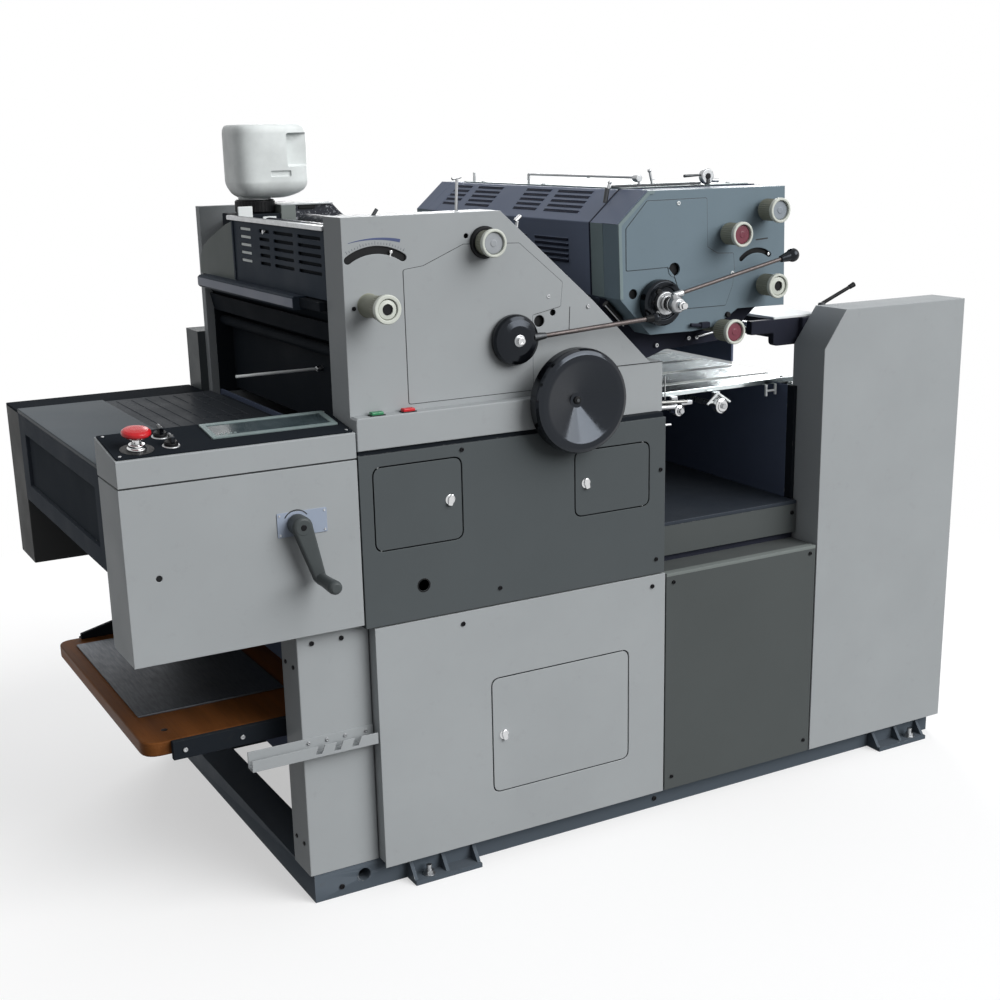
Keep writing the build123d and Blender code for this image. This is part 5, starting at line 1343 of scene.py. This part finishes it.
class PRESS_OT_unit_two(Operator):
    """Makes the second unit's side covers, hood, louvres and fittings on top"""
    bl_idname = "press.unit_two"
    bl_label = "Printing unit two"

    def execute(self, context):
        self.covers()
        self.hood()
        self.linkage()
        self.locks()
        return {"FINISHED"}

    def covers(self):
        covers = Piece("unit_two_covers", "unit_grey")
        places = (RIGHT_LEVER, *[ROLLER_KNOBS[letter] for letter in "abc"])
        peephole = (901, 1257)
        holes = [*shaft_holes(places, 36), circle(*peephole, 14, 32), circle(795, 1211, 10.5, 28),
                 circle(1047, 1150, 4, 20), arc_band(*SLOT_TWO)]
        covers.add("unit enamel", *cover(UNIT_TWO, 0, FRAME_BACK_Y, holes))
        # The black sheet behind the cover is painted shade, so that the holes, slot and peephole show dark
        # inside
        covers.add("matt black", slab(inset(UNIT_TWO, 14), 7, 9))
        slot_pointer(covers, SLOT_TWO, 58, 6, 3.4)
        panel = rounded([(777, 1261), (776, 1348), (829, 1403), (985, 1404), (989, 1300), (1016, 1285),
                         (1060, 1283), (1064, 1248), (1059, 1213), (1041, 1171), (930, 1171), (903, 1240),
                         (883, 1263)], 4, 4)
        for paint, shape, low, edge in (("seam", inset(panel, -1.2), -0.3, 0.1),
                                        ("unit enamel", panel, -1.3, 0.55)):
            covers.add(paint, slab(shape, low, 0.5, edge=edge, holes=[circle(*peephole, 14.5, 32)]))
        flange = [(761, 1202), (756, 1358), (832, 1424), (850, 1424), (845, 1417), (836, 1417), (764, 1355),
                  (769, 1202)]
        covers.add("unit light", slab(flange, -2.2, 0.5, edge=0.9))
        covers.add("seam", line_on([(1123, 1309), (1155, 1311)], 0, 3.0))
        covers.screws("plate white", 0, ((910, 1396), (1058, 1240)), 4.6, 2.8)
        covers.add_far("unit enamel", *cover(UNIT_TWO, 0, FRAME_BACK_Y))
        far_screws = ((790, 1230), (790, 1345), (845, 1408), (1185, 1408), (1190, 1180), (960, 1138))
        covers.screws("black screw", 0, far_screws, 4.2, 2.6, covers.add_far)
        covers.done()

    def hood(self):
        hood = Piece("unit_two_hood", "hood_dark")
        hood.own_shape("hood enamel", 2.0, 3)
        for first, last in ((200, 344), (384, 500), (560, 690), (730, 830)):
            for i in range(5):
                z = 1268 + i * 11.5
                self.louvre(hood, box((754.8, 759), (first, last), (z, z + 5.4), 1.2),
                            box((754.2, 757), (first - 2, last + 2), (z + 5.2, z + 7.2), 0.8))
        slope = math.degrees(math.atan2(66, 76))
        for lower, upper in (((188, 335), (201, 347)), ((372, 477), (378, 490)), ((600, 720), (606, 732)),
                             ((762, 842), (766, 846))):
            for i in range(5):
                share = 0.27 + i * 0.15
                first, last = [low + (high - low) * i / 4 for low, high in zip(lower, upper)]
                x, z = 756 + 76 * share, 1358 + 66 * share
                shaded_slot = box((x - 3.4, x + 3.4), (first, last), (z - 1.4, z + 0.7), 0.5)
                lip = box((x + 3.0, x + 4.8), (first - 2, last + 2), (z - 1.0, z + 1.5), 0.7)
                self.louvre(hood, *[turned_about(mesh, (x, 0, z), "Y", -slope) for mesh in (shaded_slot, lip)])
        groove = [(759, 1203), (754.4, 1358), (831.5, 1425.6), (1200, 1425.4), (1200, 1418), (836, 1417),
                  (764, 1355), (769, 1203)]
        # The groove along the hood's edge is painted dark as the shadow between hood and band
        hood.add("louvre dark", slab(groove, 107, 112.5, edge=0.4))
        front_band = [(760, 1203), (755, 1358), (764, 1355), (770, 1203)]
        hood.add("unit light", slab(front_band, 60, 107.4))
        shoulder_band = [(755, 1358), (832, 1425), (860, 1425), (860, 1417), (836, 1417), (764, 1355)]
        hood.add("hood enamel", *[slab(shoulder_band, low, high) for low, high in ((60, 107.4), (848, 896))])
        rim_band = [(755.2, 1358.6), (831.2, 1425), (834, 1423), (758, 1356.6)]
        hood.add("hood enamel", *[slab(rim_band, low, high, edge=0.4) for low, high in ((3, 61), (895, 953))])
        hood.add("unit light", slab(rectangle(846, 1196, 120, 860, 8), 1423, 1427, "Z", edge=1.2))
        for y in (180, 480, 780):
            for x in (862, 1180):
                hood.add("zinc", turned([(4, 2.4), (5, 1.6), (5, 0)], (x, y, 1427), (0, 0, 1), 18, 0.3))
        hood.done()

    def louvre(self, hood, shaded_slot, lip):
        # The slot's dark colour is painted shade for the louvre's opening, under a lip of hood paint
        hood.add("louvre dark", shaded_slot)
        hood.add("hood enamel", lip)

    def linkage(self):
        """The paper cut-off rods and locks that stand on top of unit two, and the clamp below it."""
        links = Piece(None, "steel", name="feed_linkage")
        links.add("dark iron", rod((789, 100, 1398), (795, 100, 1428), 5))
        links.add("zinc", rod((796, 100, 1424), (801, 100, 1441), 3.6, 18))
        links.add("polished", ball((801, 100, 1441), 5, 20, 10))
        links.add("dark iron", box((806, 1042), (97, 103), (1428.5, 1434.5), 1.2))
        links.add("zinc", rod((874, 96, 1434), (874, 96, 1444), 3.4, 16))
        links.add("zinc", turned([(7, -9), (8, -8), (8, 8), (7, 9)], (872, 100, 1447), sides=32))
        links.add("zinc", rod((868, 110, 1449), (868, 560, 1449), 3.0, 16),
                  rod((912, 100, 1430), (905, 100, 1460), 2.8, 14), ball((904, 100, 1462), 4.4, 18, 9))
        eye = (1058, 100, 1446)
        links.add("dark iron", rod((1058, 96, 1428), (1058, 96, 1440), 6, 18))
        links.add("zinc", turned([(15, -7), (17, -5), (17, 5), (15, 7)], eye, sides=44))
        links.add("matt black", turned([(6, -9), (7, -8), (7, -6)], eye, sides=28, soft=0.4))
        links.add("dark iron", rod((997, 100, 1448), (1044, 100, 1449), 3.4, 16, 2.2))
        links.add("zinc", rod((1070, 100, 1437), (1091, 100, 1436), 4.4, 16))
        links.add("zinc", *[rod((868, y, 1425), (868, y, 1449), 3.4, 14) for y in (560, 840)])
        links.add("head black", box((968, 992), (-13, -1), (1126, 1139), 2.5, 3))
        links.add("head black", rod((942, -7, 1135), (970, -7, 1132), 4.2, 18))
        links.add("zinc", rod((1002, 48, 1100), (1046, 48, 1106), 3.2, 16))
        links.add("matt black", turned([(5, -6), (6, -5), (6, 6)], (1047, 0, 1150), sides=24, soft=0.5))
        links.done()

    def locks(self):
        """The small rods on top of unit one, and the black clamp between the units."""
        locks = Piece(None, "steel", name="roller_locks")
        locks.add("zinc", rod((427, 100, 1376), (432, 100, 1460), 3.0, 16))
        locks.add("dark iron", rod((214, 40, 1394), (225, 40, 1409), 3.6, 16))
        locks.add("polished", rod((421, 100, 1459), (441, 100, 1463), 3.6, 16))
        locks.add("zinc", rod((542, 60, 1330), (548, 60, 1372), 3.4, 16))
        locks.add("polished", rod((543, 60, 1372), (556, 60, 1382), 4.2, 16))
        locks.add("matt black", rod((758, 52, 1190), (796, 52, 1152), 8, 24, None, 1.5))
        locks.add("zinc", rod((753, 44, 1186), (800, 44, 1139), 1.6, 12))
        locks.done()


class PRESS_OT_control(Operator):
    """Makes the control box, its desk, display, buttons, selectors and crank"""
    bl_idname = "press.control"
    bl_label = "Control desk"

    def execute(self, context):
        crate = Piece("control_box", "light_grey")
        front = slab(rectangle(-338, 128, 599, 939), COVER_Y, COVER_INSIDE_Y, edge=1.4, steps=3,
                     holes=[circle(-277, 765, 6)])
        crate.add("light enamel", front, box((-337.4, 127.4), (-28.4, 110), (599.6, 939), 1.2))
        crate.add("seam", box((-335, 125), (-26, 107), (938, 943.5), 0.3))
        crate.add("matt black", slab(rectangle(-285, -269, 757, 773), -28.8, -28.2, edge=0.1))
        crate.add("plate blue", slab(rectangle(-43, 59, 807, 855, 2), -32, -29.5, edge=0.5))
        crate.add("seam", slab(arc_band(*CRANK, 27, 2.2, 35, 150, False), -32.35, -31.9, edge=0.1))
        crate.screws("zinc", -32, ((-38, 850), (54, 850), (-38, 812), (54, 812)), 2.2, 1.2)
        crate.done()
        self.desk()
        self.controls()
        self.crank()
        return {"FINISHED"}

    def desk(self):
        def tilt(mesh):
            return turned_about(mesh, (0, DESK_Y, DESK_Z), "X", DESK_SLOPE)

        def ringed(rims, x, y, sides, soft, start=DESK_Z):
            return tilt(ring(rims, (x, y, start), (0, 0, 1), sides, soft))

        desk = Piece("control_panel", "black_plastic")
        side = [(-30, 943), (-30, 991), (-28, 993), (110, 1015), (110, 943)]
        desk.add("light enamel", slab(side, -338, 128, "X", edge=1.4, steps=3))
        desk.add("desk black", tilt(slab(rectangle(-335, 125, -26, 109, 4), 993.2, 996.2, "Z", edge=0.9)))
        window = rectangle(-131, 101, 27, 89, 2)
        surround = slab(rectangle(-142, 112, 17, 99, 3), 996, 999.6, "Z", holes=[window], edge=0.8)
        desk.add("display frame", tilt(surround))
        desk.add("screen", tilt(slab(inset(window, -2), 996, 997.8, "Z", edge=0.2)))
        for x in (-120, -111, -102, -93):
            desk.add("display frame", tilt(slab(rectangle(x, x + 5, 34, 39, 1), 997.7, 998.3, "Z", edge=0.2)))
        head = [(0, 1.6), (2.6, 1.6), (3.2, 1.0), (3.2, 0), (0, 0)]
        desk.add("zinc", *[ringed(head, x, y, 16, 0.2, 996) for y in (-16, 98) for x in (-325, 115)])
        collar = [(10, 3), (16, 3), (18, 4), (18, 7), (15, 9), (15, 14), (10, 15)]
        desk.add("polished", ringed(collar, *STOP_BUTTON, 40, 0.8))
        plate = [(12, 3), (30, 3), (31, 3.4), (31, 3.9), (12, 4)]
        desk.add("matt black", ringed(plate, *STOP_BUTTON, 48, 0.2))
        for place in SELECTORS.values():
            desk.add("zinc", ringed([(11, 3), (16.5, 3), (17, 3.6), (15.5, 5), (11, 5)], *place, 36, 0.4))
        desk.done()

    def controls(self):
        def spot(mesh, x, y):
            """A piece made about the origin, set square on the sloping desk."""
            z = DESK_Z + (y - DESK_Y) / DESK_DEPTH * DESK_RISE
            mesh.transform(Matrix.Translation((x, y, z)) @ Matrix.Rotation(math.radians(DESK_SLOPE), 4, "X"))
            return mesh

        stem = turned([(9, 12), (9, 25), (13, 27)], (0, 0, 0), (0, 0, 1), 32, 0.6)
        cap = [(14, 25), (18, 27), (26, 32), (27.2, 35), (26.4, 39), (22, 42.5), (12, 44.3), (0, 44.6)]
        stop = Piece("stop_button", "red_plastic", "stop_body")
        stop.add("polished", spot(stem, *STOP_BUTTON))
        stop.add("red plastic", spot(ring([(0, 25), *cap], (0, 0, 0), (0, 0, 1), 64, 1.2), *STOP_BUTTON))
        stop.done()
        for name, place in SELECTORS.items():
            selector = Piece(name, "black_plastic", name + "_body")
            foot = [(0, 3), (13, 3), (13, 8), (11.6, 12), (0, 13)]
            grip = rounded([(-3.8, -12.5), (3.8, -12.5), (3, 12.5), (-3, 12.5)], 1.4)
            selector.add("matt black", spot(ring(foot, (0, 0, 0), (0, 0, 1), 40), *place))
            selector.add("black plastic", spot(slab(grip, 9, 24, "Z", edge=1.4, steps=3), *place))
            mark = slab(rectangle(-0.8, 0.8, 2, 11.5), 23.6, 24.3, "Z", edge=0.1)
            selector.add("dial grey", spot(mark, *place))
            selector.done()

    def crank(self):
        turn = math.radians(-74)
        x, z = CRANK
        end_x, end_z = on_circle(x, z, 112, turn)
        crank = Piece("crank_handle", "black_plastic", "crank_body")
        hub = [(15, -70), (19, -67), (20.5, -62), (20.5, -36), (19, -32.6)]
        crank.add("crank black", turned(hub, (x, 0, z), sides=48, soft=1.2))
        halves = [math.pi * i / 12 - math.pi / 2 for i in range(13)]
        outline = [on_circle(x, z, 19.5, turn + half + math.pi) for half in halves]
        outline += [on_circle(end_x, end_z, 11.5, turn + half) for half in halves]
        crank.add("crank black", slab(outline, -69.4, -47, edge=5, steps=4))
        grip = [(9, -142), (13, -138), (14, -130), (13.2, -112), (12, -92), (12, -76), (12.4, -69),
                (12.4, -66)]
        crank.add("crank black", turned(grip, (end_x, 0, end_z), sides=40, soft=1.5))
        nut = [(5, -71.4), (6, -70.4), (6, -69)]
        crank.add("black screw", turned(nut, (x, 0, z), sides=28, soft=0.4))
        crank.done()


class PRESS_OT_delivery(Operator):
    """Makes the delivery table, far box, pile board and notched rail"""
    bl_idname = "press.delivery"
    bl_label = "Delivery"

    def execute(self, context):
        self.table()
        crate = Piece("far_box", "dark_grey")
        crate.add("far enamel", box((-330, 117), (846, 986), (587, 946), 2.2, 3))
        crate.add("desk black", slab(rectangle(-330, 117, 846, 986, 3), 944, 950, "Z", edge=1.8, steps=3))
        corners = [(x, z) for x in (-300, 90) for z in (610, 920)]
        crate.screws("black screw", COVER_Y, corners, put=crate.add_far)
        crate.add_far("seam", line_on([(-326, 700), (113, 700)], COVER_Y, 1.6))
        crate.done()
        self.pile()
        rail = Piece("notched_rail", "light_grey")
        rail.own_shape("light enamel", 0.7)
        rail.screws("zinc", -3, [(x, 362) for x in (4, 44, 84, 130)], 4, 2.4)
        rail.done()
        return {"FINISHED"}

    def table(self):
        table = Piece("delivery_table", "dark_grey")
        table.add("table top", slab(rectangle(-332, -136, 110, 846, 3), 948, 957, "Z", edge=1.8, steps=3))
        skirt = slab(rectangle(111, 845, 745, 949), -331.6, -322, "X", edge=1.2,
                     holes=[rectangle(171, 786, 786, 906, 4)])
        table.add("table enamel", skirt)
        table.add("table dark", slab(rectangle(165, 792, 780, 912), -324, -321, "X"))
        table.add("table enamel", box((-323, -137), (111, 845), (745, 949), 1.5))
        table.add("table ridged", slab(rectangle(-133, 128, 110, 846, 3), 944, 953, "Z", edge=1.8, steps=3))
        table.add("table dark", box((-132, 127), (111, 845), (746, 946), 1.5))
        for x in range(-110, 128, 34):
            table.add("table ridged", box((x, x + 20), (130, 826), (952, 954.2), 1.0))
        table.add("table dark", box((120, 159), (112, 844), (928, 941), 1.5))
        table.add("zinc", *[box((-136.6, -132.4), (y - 16, y + 16), (935, 953.6), 0.6)
                            for y in (150, 478, 806)])
        table.done()

    def pile(self):
        left, right, near, far, top = -300, 118, 110, 846, 385
        board = Piece("pile_board", "pile_wood", "pile_body")
        shape = rounded([(left, near), (right, near), (right, far), (left, far)], [38, 0, 0, 38], 10)
        board.add("wood", slab(shape, top - 30, top, "Z", edge=3.5, steps=4))
        board.add("wood core", slab(inset(shape, 0.25), top - 21, top - 9, "Z", edge=0.4))
        for x in (-240, 60):
            for y in (170, 786):
                head = turned([(6, 0.6), (7, 0), (7, -2)], (x, y, top), (0, 0, 1), 24, 0.2)
                board.add("black screw", head)
        board.done()
        rails = Piece("pile_bars", "frame_dark", "pile_body")
        rails.own_shape("machine black", 1.5)
        guide = [(-245, 385), (-245, 398), (-140, 424), (112, 424), (112, 385)]
        rails.add("machine black", slab(guide, 829, 840.5))
        for x in (-220, -100, 20, 100):
            rails.add("zinc", *on_both_sides(screw(x, 364, 97, 5, 3)))
        rails.done()
        sheet = Piece("steel_sheet", "steel", "pile_body")
        sheet.add("sheet grey", slab(rectangle(-268, 54, 260, 786, 2), top, top + 4, "Z", edge=0.8))
        sheet.done()


class PRESS_OT_drive_side(Operator):
    """Makes the plain cover of the drive side"""
    bl_idname = "press.drive_side"
    bl_label = "Drive side"

    def execute(self, context):
        plain = Piece("drive_side_cover", "light_grey")
        upper = [(120, 590), (120, 1092), (862, 1092), (862, 954), (862, 590)]
        for paint, outline in (("light enamel", rectangle(150, 865, 52, 584)), ("middle enamel", upper),
                               ("panel enamel", rectangle(868, 1305, 52, 951))):
            plain.add_far(paint, slab(outline, COVER_Y, -26, edge=1.4, steps=3),
                          slab(inset(above(outline, 63), 0.4), COVER_INSIDE_Y, FRAME_Y, edge=0.3))
        spots = [(170, 72), (170, 565), (845, 72), (845, 565), (140, 610), (140, 1072), (842, 610),
                 (842, 1072), (490, 1072), (888, 72), (888, 930), (1285, 72), (1285, 930), (1085, 930)]
        plain.screws("black screw", COVER_Y, spots, put=plain.add_far)
        plain.done()
        return {"FINISHED"}


class PRESS_OT_feeder(Operator):
    """Makes the shelf, feed board, feeder head, towers and feeder pile board"""
    bl_idname = "press.feeder"
    bl_label = "Feed side"

    def execute(self, context):
        shelf = Piece("infeed_shelf", "dark_grey")
        shelf.add("shelf top", slab(rectangle(865, 1305, 45, 897, 2), 671, 680, "Z", edge=1.6, steps=3))
        shelf.add("panel enamel", box((865.5, 1304.5), (46, 896), (600, 672), 1.6))
        shelf.screws("black screw", 46, ((878, 612), (1292, 650)))
        shelf.done()

        board = Piece("feed_board", "steel")
        board.add("board steel", slab(rectangle(868, 1345, 118, 838, 3), 955, 967, "Z", edge=2, steps=3))
        tapes = (200, 340, 478, 616, 756)
        board.add("tape grey", *[box((880, 1335), (y - 12, y + 12), (966.4, 967.8), 0.6) for y in tapes])
        head = [(3, 1.4), (4, 0.6), (4, 0)]
        for x in (890, 1320):
            for y in (135, 821):
                board.add("black screw", turned(head, (x, y, 967), (0, 0, 1), 18, 0.2))
        board.done()
        self.shafts()
        self.head()
        self.towers()
        return {"FINISHED"}

    def shafts(self):
        shafts = Piece("cross_shafts", "steel")
        front_x, z = 885, 944
        shafts.add("steel", rod((front_x, 66, z), (front_x, 890, z), 11, 32),
                   rod((1329, 80, z), (1329, 876, z), 11, 32))
        collar = [(11, -8), (17, -8), (18, -7), (18, 7), (17, 8), (11, 8)]
        for y in (150, 300, 478, 656, 806):
            shafts.add("polished", ring(collar, (front_x, y, z), sides=36, soft=0.6))
            shafts.add("zinc", box((front_x - 4, front_x + 4), (y - 5, y + 5), (951, 956), 0.8))
        for x, size, y in ((985, 13, 110), (1102, 18, 104)):
            shafts.add("steel", rod((x, y, 926), (x, 870, 926), 7, 24))
            cap = [(size - 5, -26), (size - 4, -24), (size, -22), (size, -6), (size - 3, -4)]
            shafts.add("polished", turned(cap, (x, y, 926), sides=36))
            shafts.add("zinc", box((x - 9, x + 9), (y - 2, y + 8), (918, 956), 2))
            shafts.add("zinc", *hex_bolt((x, y - 26, 926), (0, -1, 0), 7, 6))
        shafts.add("rod steel", rod((920, 96, 950), (1010, 96, 944), 4, 18))
        shafts.add("zinc", rod((900, 92, 940), (972, 92, 936), 6, 18))
        hook = [(905, 96, 950), (912, 92, 925), (935, 90, 900), (962, 92, 896)]
        shafts.add("steel", bent_bar(hook, 3.2))
        shafts.add("zinc", *[rod((x, 112, 950), (x, 112, 1004), 1.6, 10) for x in (915, 945, 960)])
        for x, top in ((925, 948), (1010, 946)):
            shafts.add("zinc", box((x - 16, x + 16), (94, 106), (top - 10, top), 2))
        for x, low in ((1258, 928), (1286, 930), (1334, 918)):
            shafts.add("plate white", box((x - 2.4, x + 2.4), (112, 118), (low, 956), 1))
        for x, z in (((1258, 1288), (938, 943)), ((1312, 1336), (917, 922))):
            shafts.add("plate white", box(x, (113, 117), z, 1))
        for (x, z), (end_x, end_z) in (((1070, 930), (1100, 954)), ((1100, 954), (1136, 930)),
                                       ((1076, 934), (1130, 934))):
            shafts.add("plate white", rod((x, 97, z), (end_x, 97, end_z), 2.8, 12))
        shafts.done()

    def head(self):
        head = Piece("feeder_head", "frame_dark")
        head.add("head black", box((1335, 1395), (80, 876), (1053, 1113), 3, 3))
        arm = rounded([(1192, 1113), (1192, 1081), (1258, 1081), (1258, 1050), (1336, 1050), (1336, 1113)],
                      [2, 4, 3, 14, 2, 0], 6)
        head.add("head black", *on_both_sides(slab(arm, 94, 114, edge=2.2, steps=3)))
        head.add("plate white", slab(rectangle(1258, 1395, 94, 862, 3), 1112.6, 1119, "Z", edge=1.6, steps=3))
        sucker = [(13, 0), (16, 5), (12, 14), (9, 16)]
        for y in (250, 400, 556, 706):
            head.add("steel", rod((1240, y, 1066), (1240, y, 1104), 9, 24))
            head.add("roller rubber", turned(sucker, (1240, y, 1051), (0, 0, 1), 32))
        head.add("steel", rod((1240, 114, 1096), (1240, 842, 1096), 8, 24))
        head.done()

    def towers(self):
        towers = Piece("feeder_towers", "light_grey")
        towers.add("light enamel", *on_both_sides(slab(TOWER, COVER_Y, -26, edge=1.6, steps=3)))
        inside = slab(inset(above(TOWER, 63), 0.4), -27.5, 80, edge=1.4)
        towers.add("light enamel", *on_both_sides(inside))
        for x, z in ((1330, 1000), (1330, 100), (1730, 100), (1730, 1100)):
            inward = turned_about(screw(x, z, 80, 4.2, 2.4), (x, 80, z), "X", 180)
            towers.add("black screw", *on_both_sides(inward))
        towers.done()
        lever = Piece(None, "black_plastic", name="feeder_lever")
        lever.add("matt black", rod((1398, 90, 1140), (1486, 80, 1180), 4.5, 18),
                  rod((1476, 81, 1175.5), (1490, 79.5, 1182), 5.6, 20, 6.4, 1.0))
        lever.add("dark iron", turned([(9, 0), (9, 16), (7, 18)], (1398, 88, 1126), (0, 0, 1), 28))
        lever.done()
        board = Piece("feeder_pile_board", "pile_wood")
        board.own_shape("wood", 2.5, 3)
        board.done()


OPERATORS = (PRESS_OT_stage, PRESS_OT_base, PRESS_OT_frames, PRESS_OT_covers, PRESS_OT_doors,
             PRESS_OT_unit_one, PRESS_OT_unit_one_top, PRESS_OT_handwheel, PRESS_OT_levers, PRESS_OT_knobs,
             PRESS_OT_unit_two, PRESS_OT_control, PRESS_OT_delivery, PRESS_OT_drive_side, PRESS_OT_feeder)


class PRESS_PT_pieces(Panel):
    """Lists the press's pieces in the sidebar"""
    bl_label = "Press"
    bl_space_type = "VIEW_3D"
    bl_region_type = "UI"
    bl_category = "Press"

    def draw(self, context):
        column = self.layout.column()
        for operator in OPERATORS:
            column.operator(operator.bl_idname, text=operator.bl_label)
        for group in (context.scene.press_colours, context.scene.press_sizes):
            for name in group.__annotations__:
                column.prop(group, name)


CLASSES = (PressColours, PressSizes, *OPERATORS, PRESS_PT_pieces)


def register():
    for kind in CLASSES:
        bpy.utils.register_class(kind)
    bpy.types.Scene.press_colours = PointerProperty(type=PressColours)
    bpy.types.Scene.press_sizes = PointerProperty(type=PressSizes)


def unregister():
    del bpy.types.Scene.press_sizes
    del bpy.types.Scene.press_colours
    for kind in reversed(CLASSES):
        bpy.utils.unregister_class(kind)


def main():
    register()
    for operator in OPERATORS:
        group, name = operator.bl_idname.split(".")
        getattr(getattr(bpy.ops, group), name)()
    bpy.context.view_layer.update()


if __name__ == "__main__":
    main()
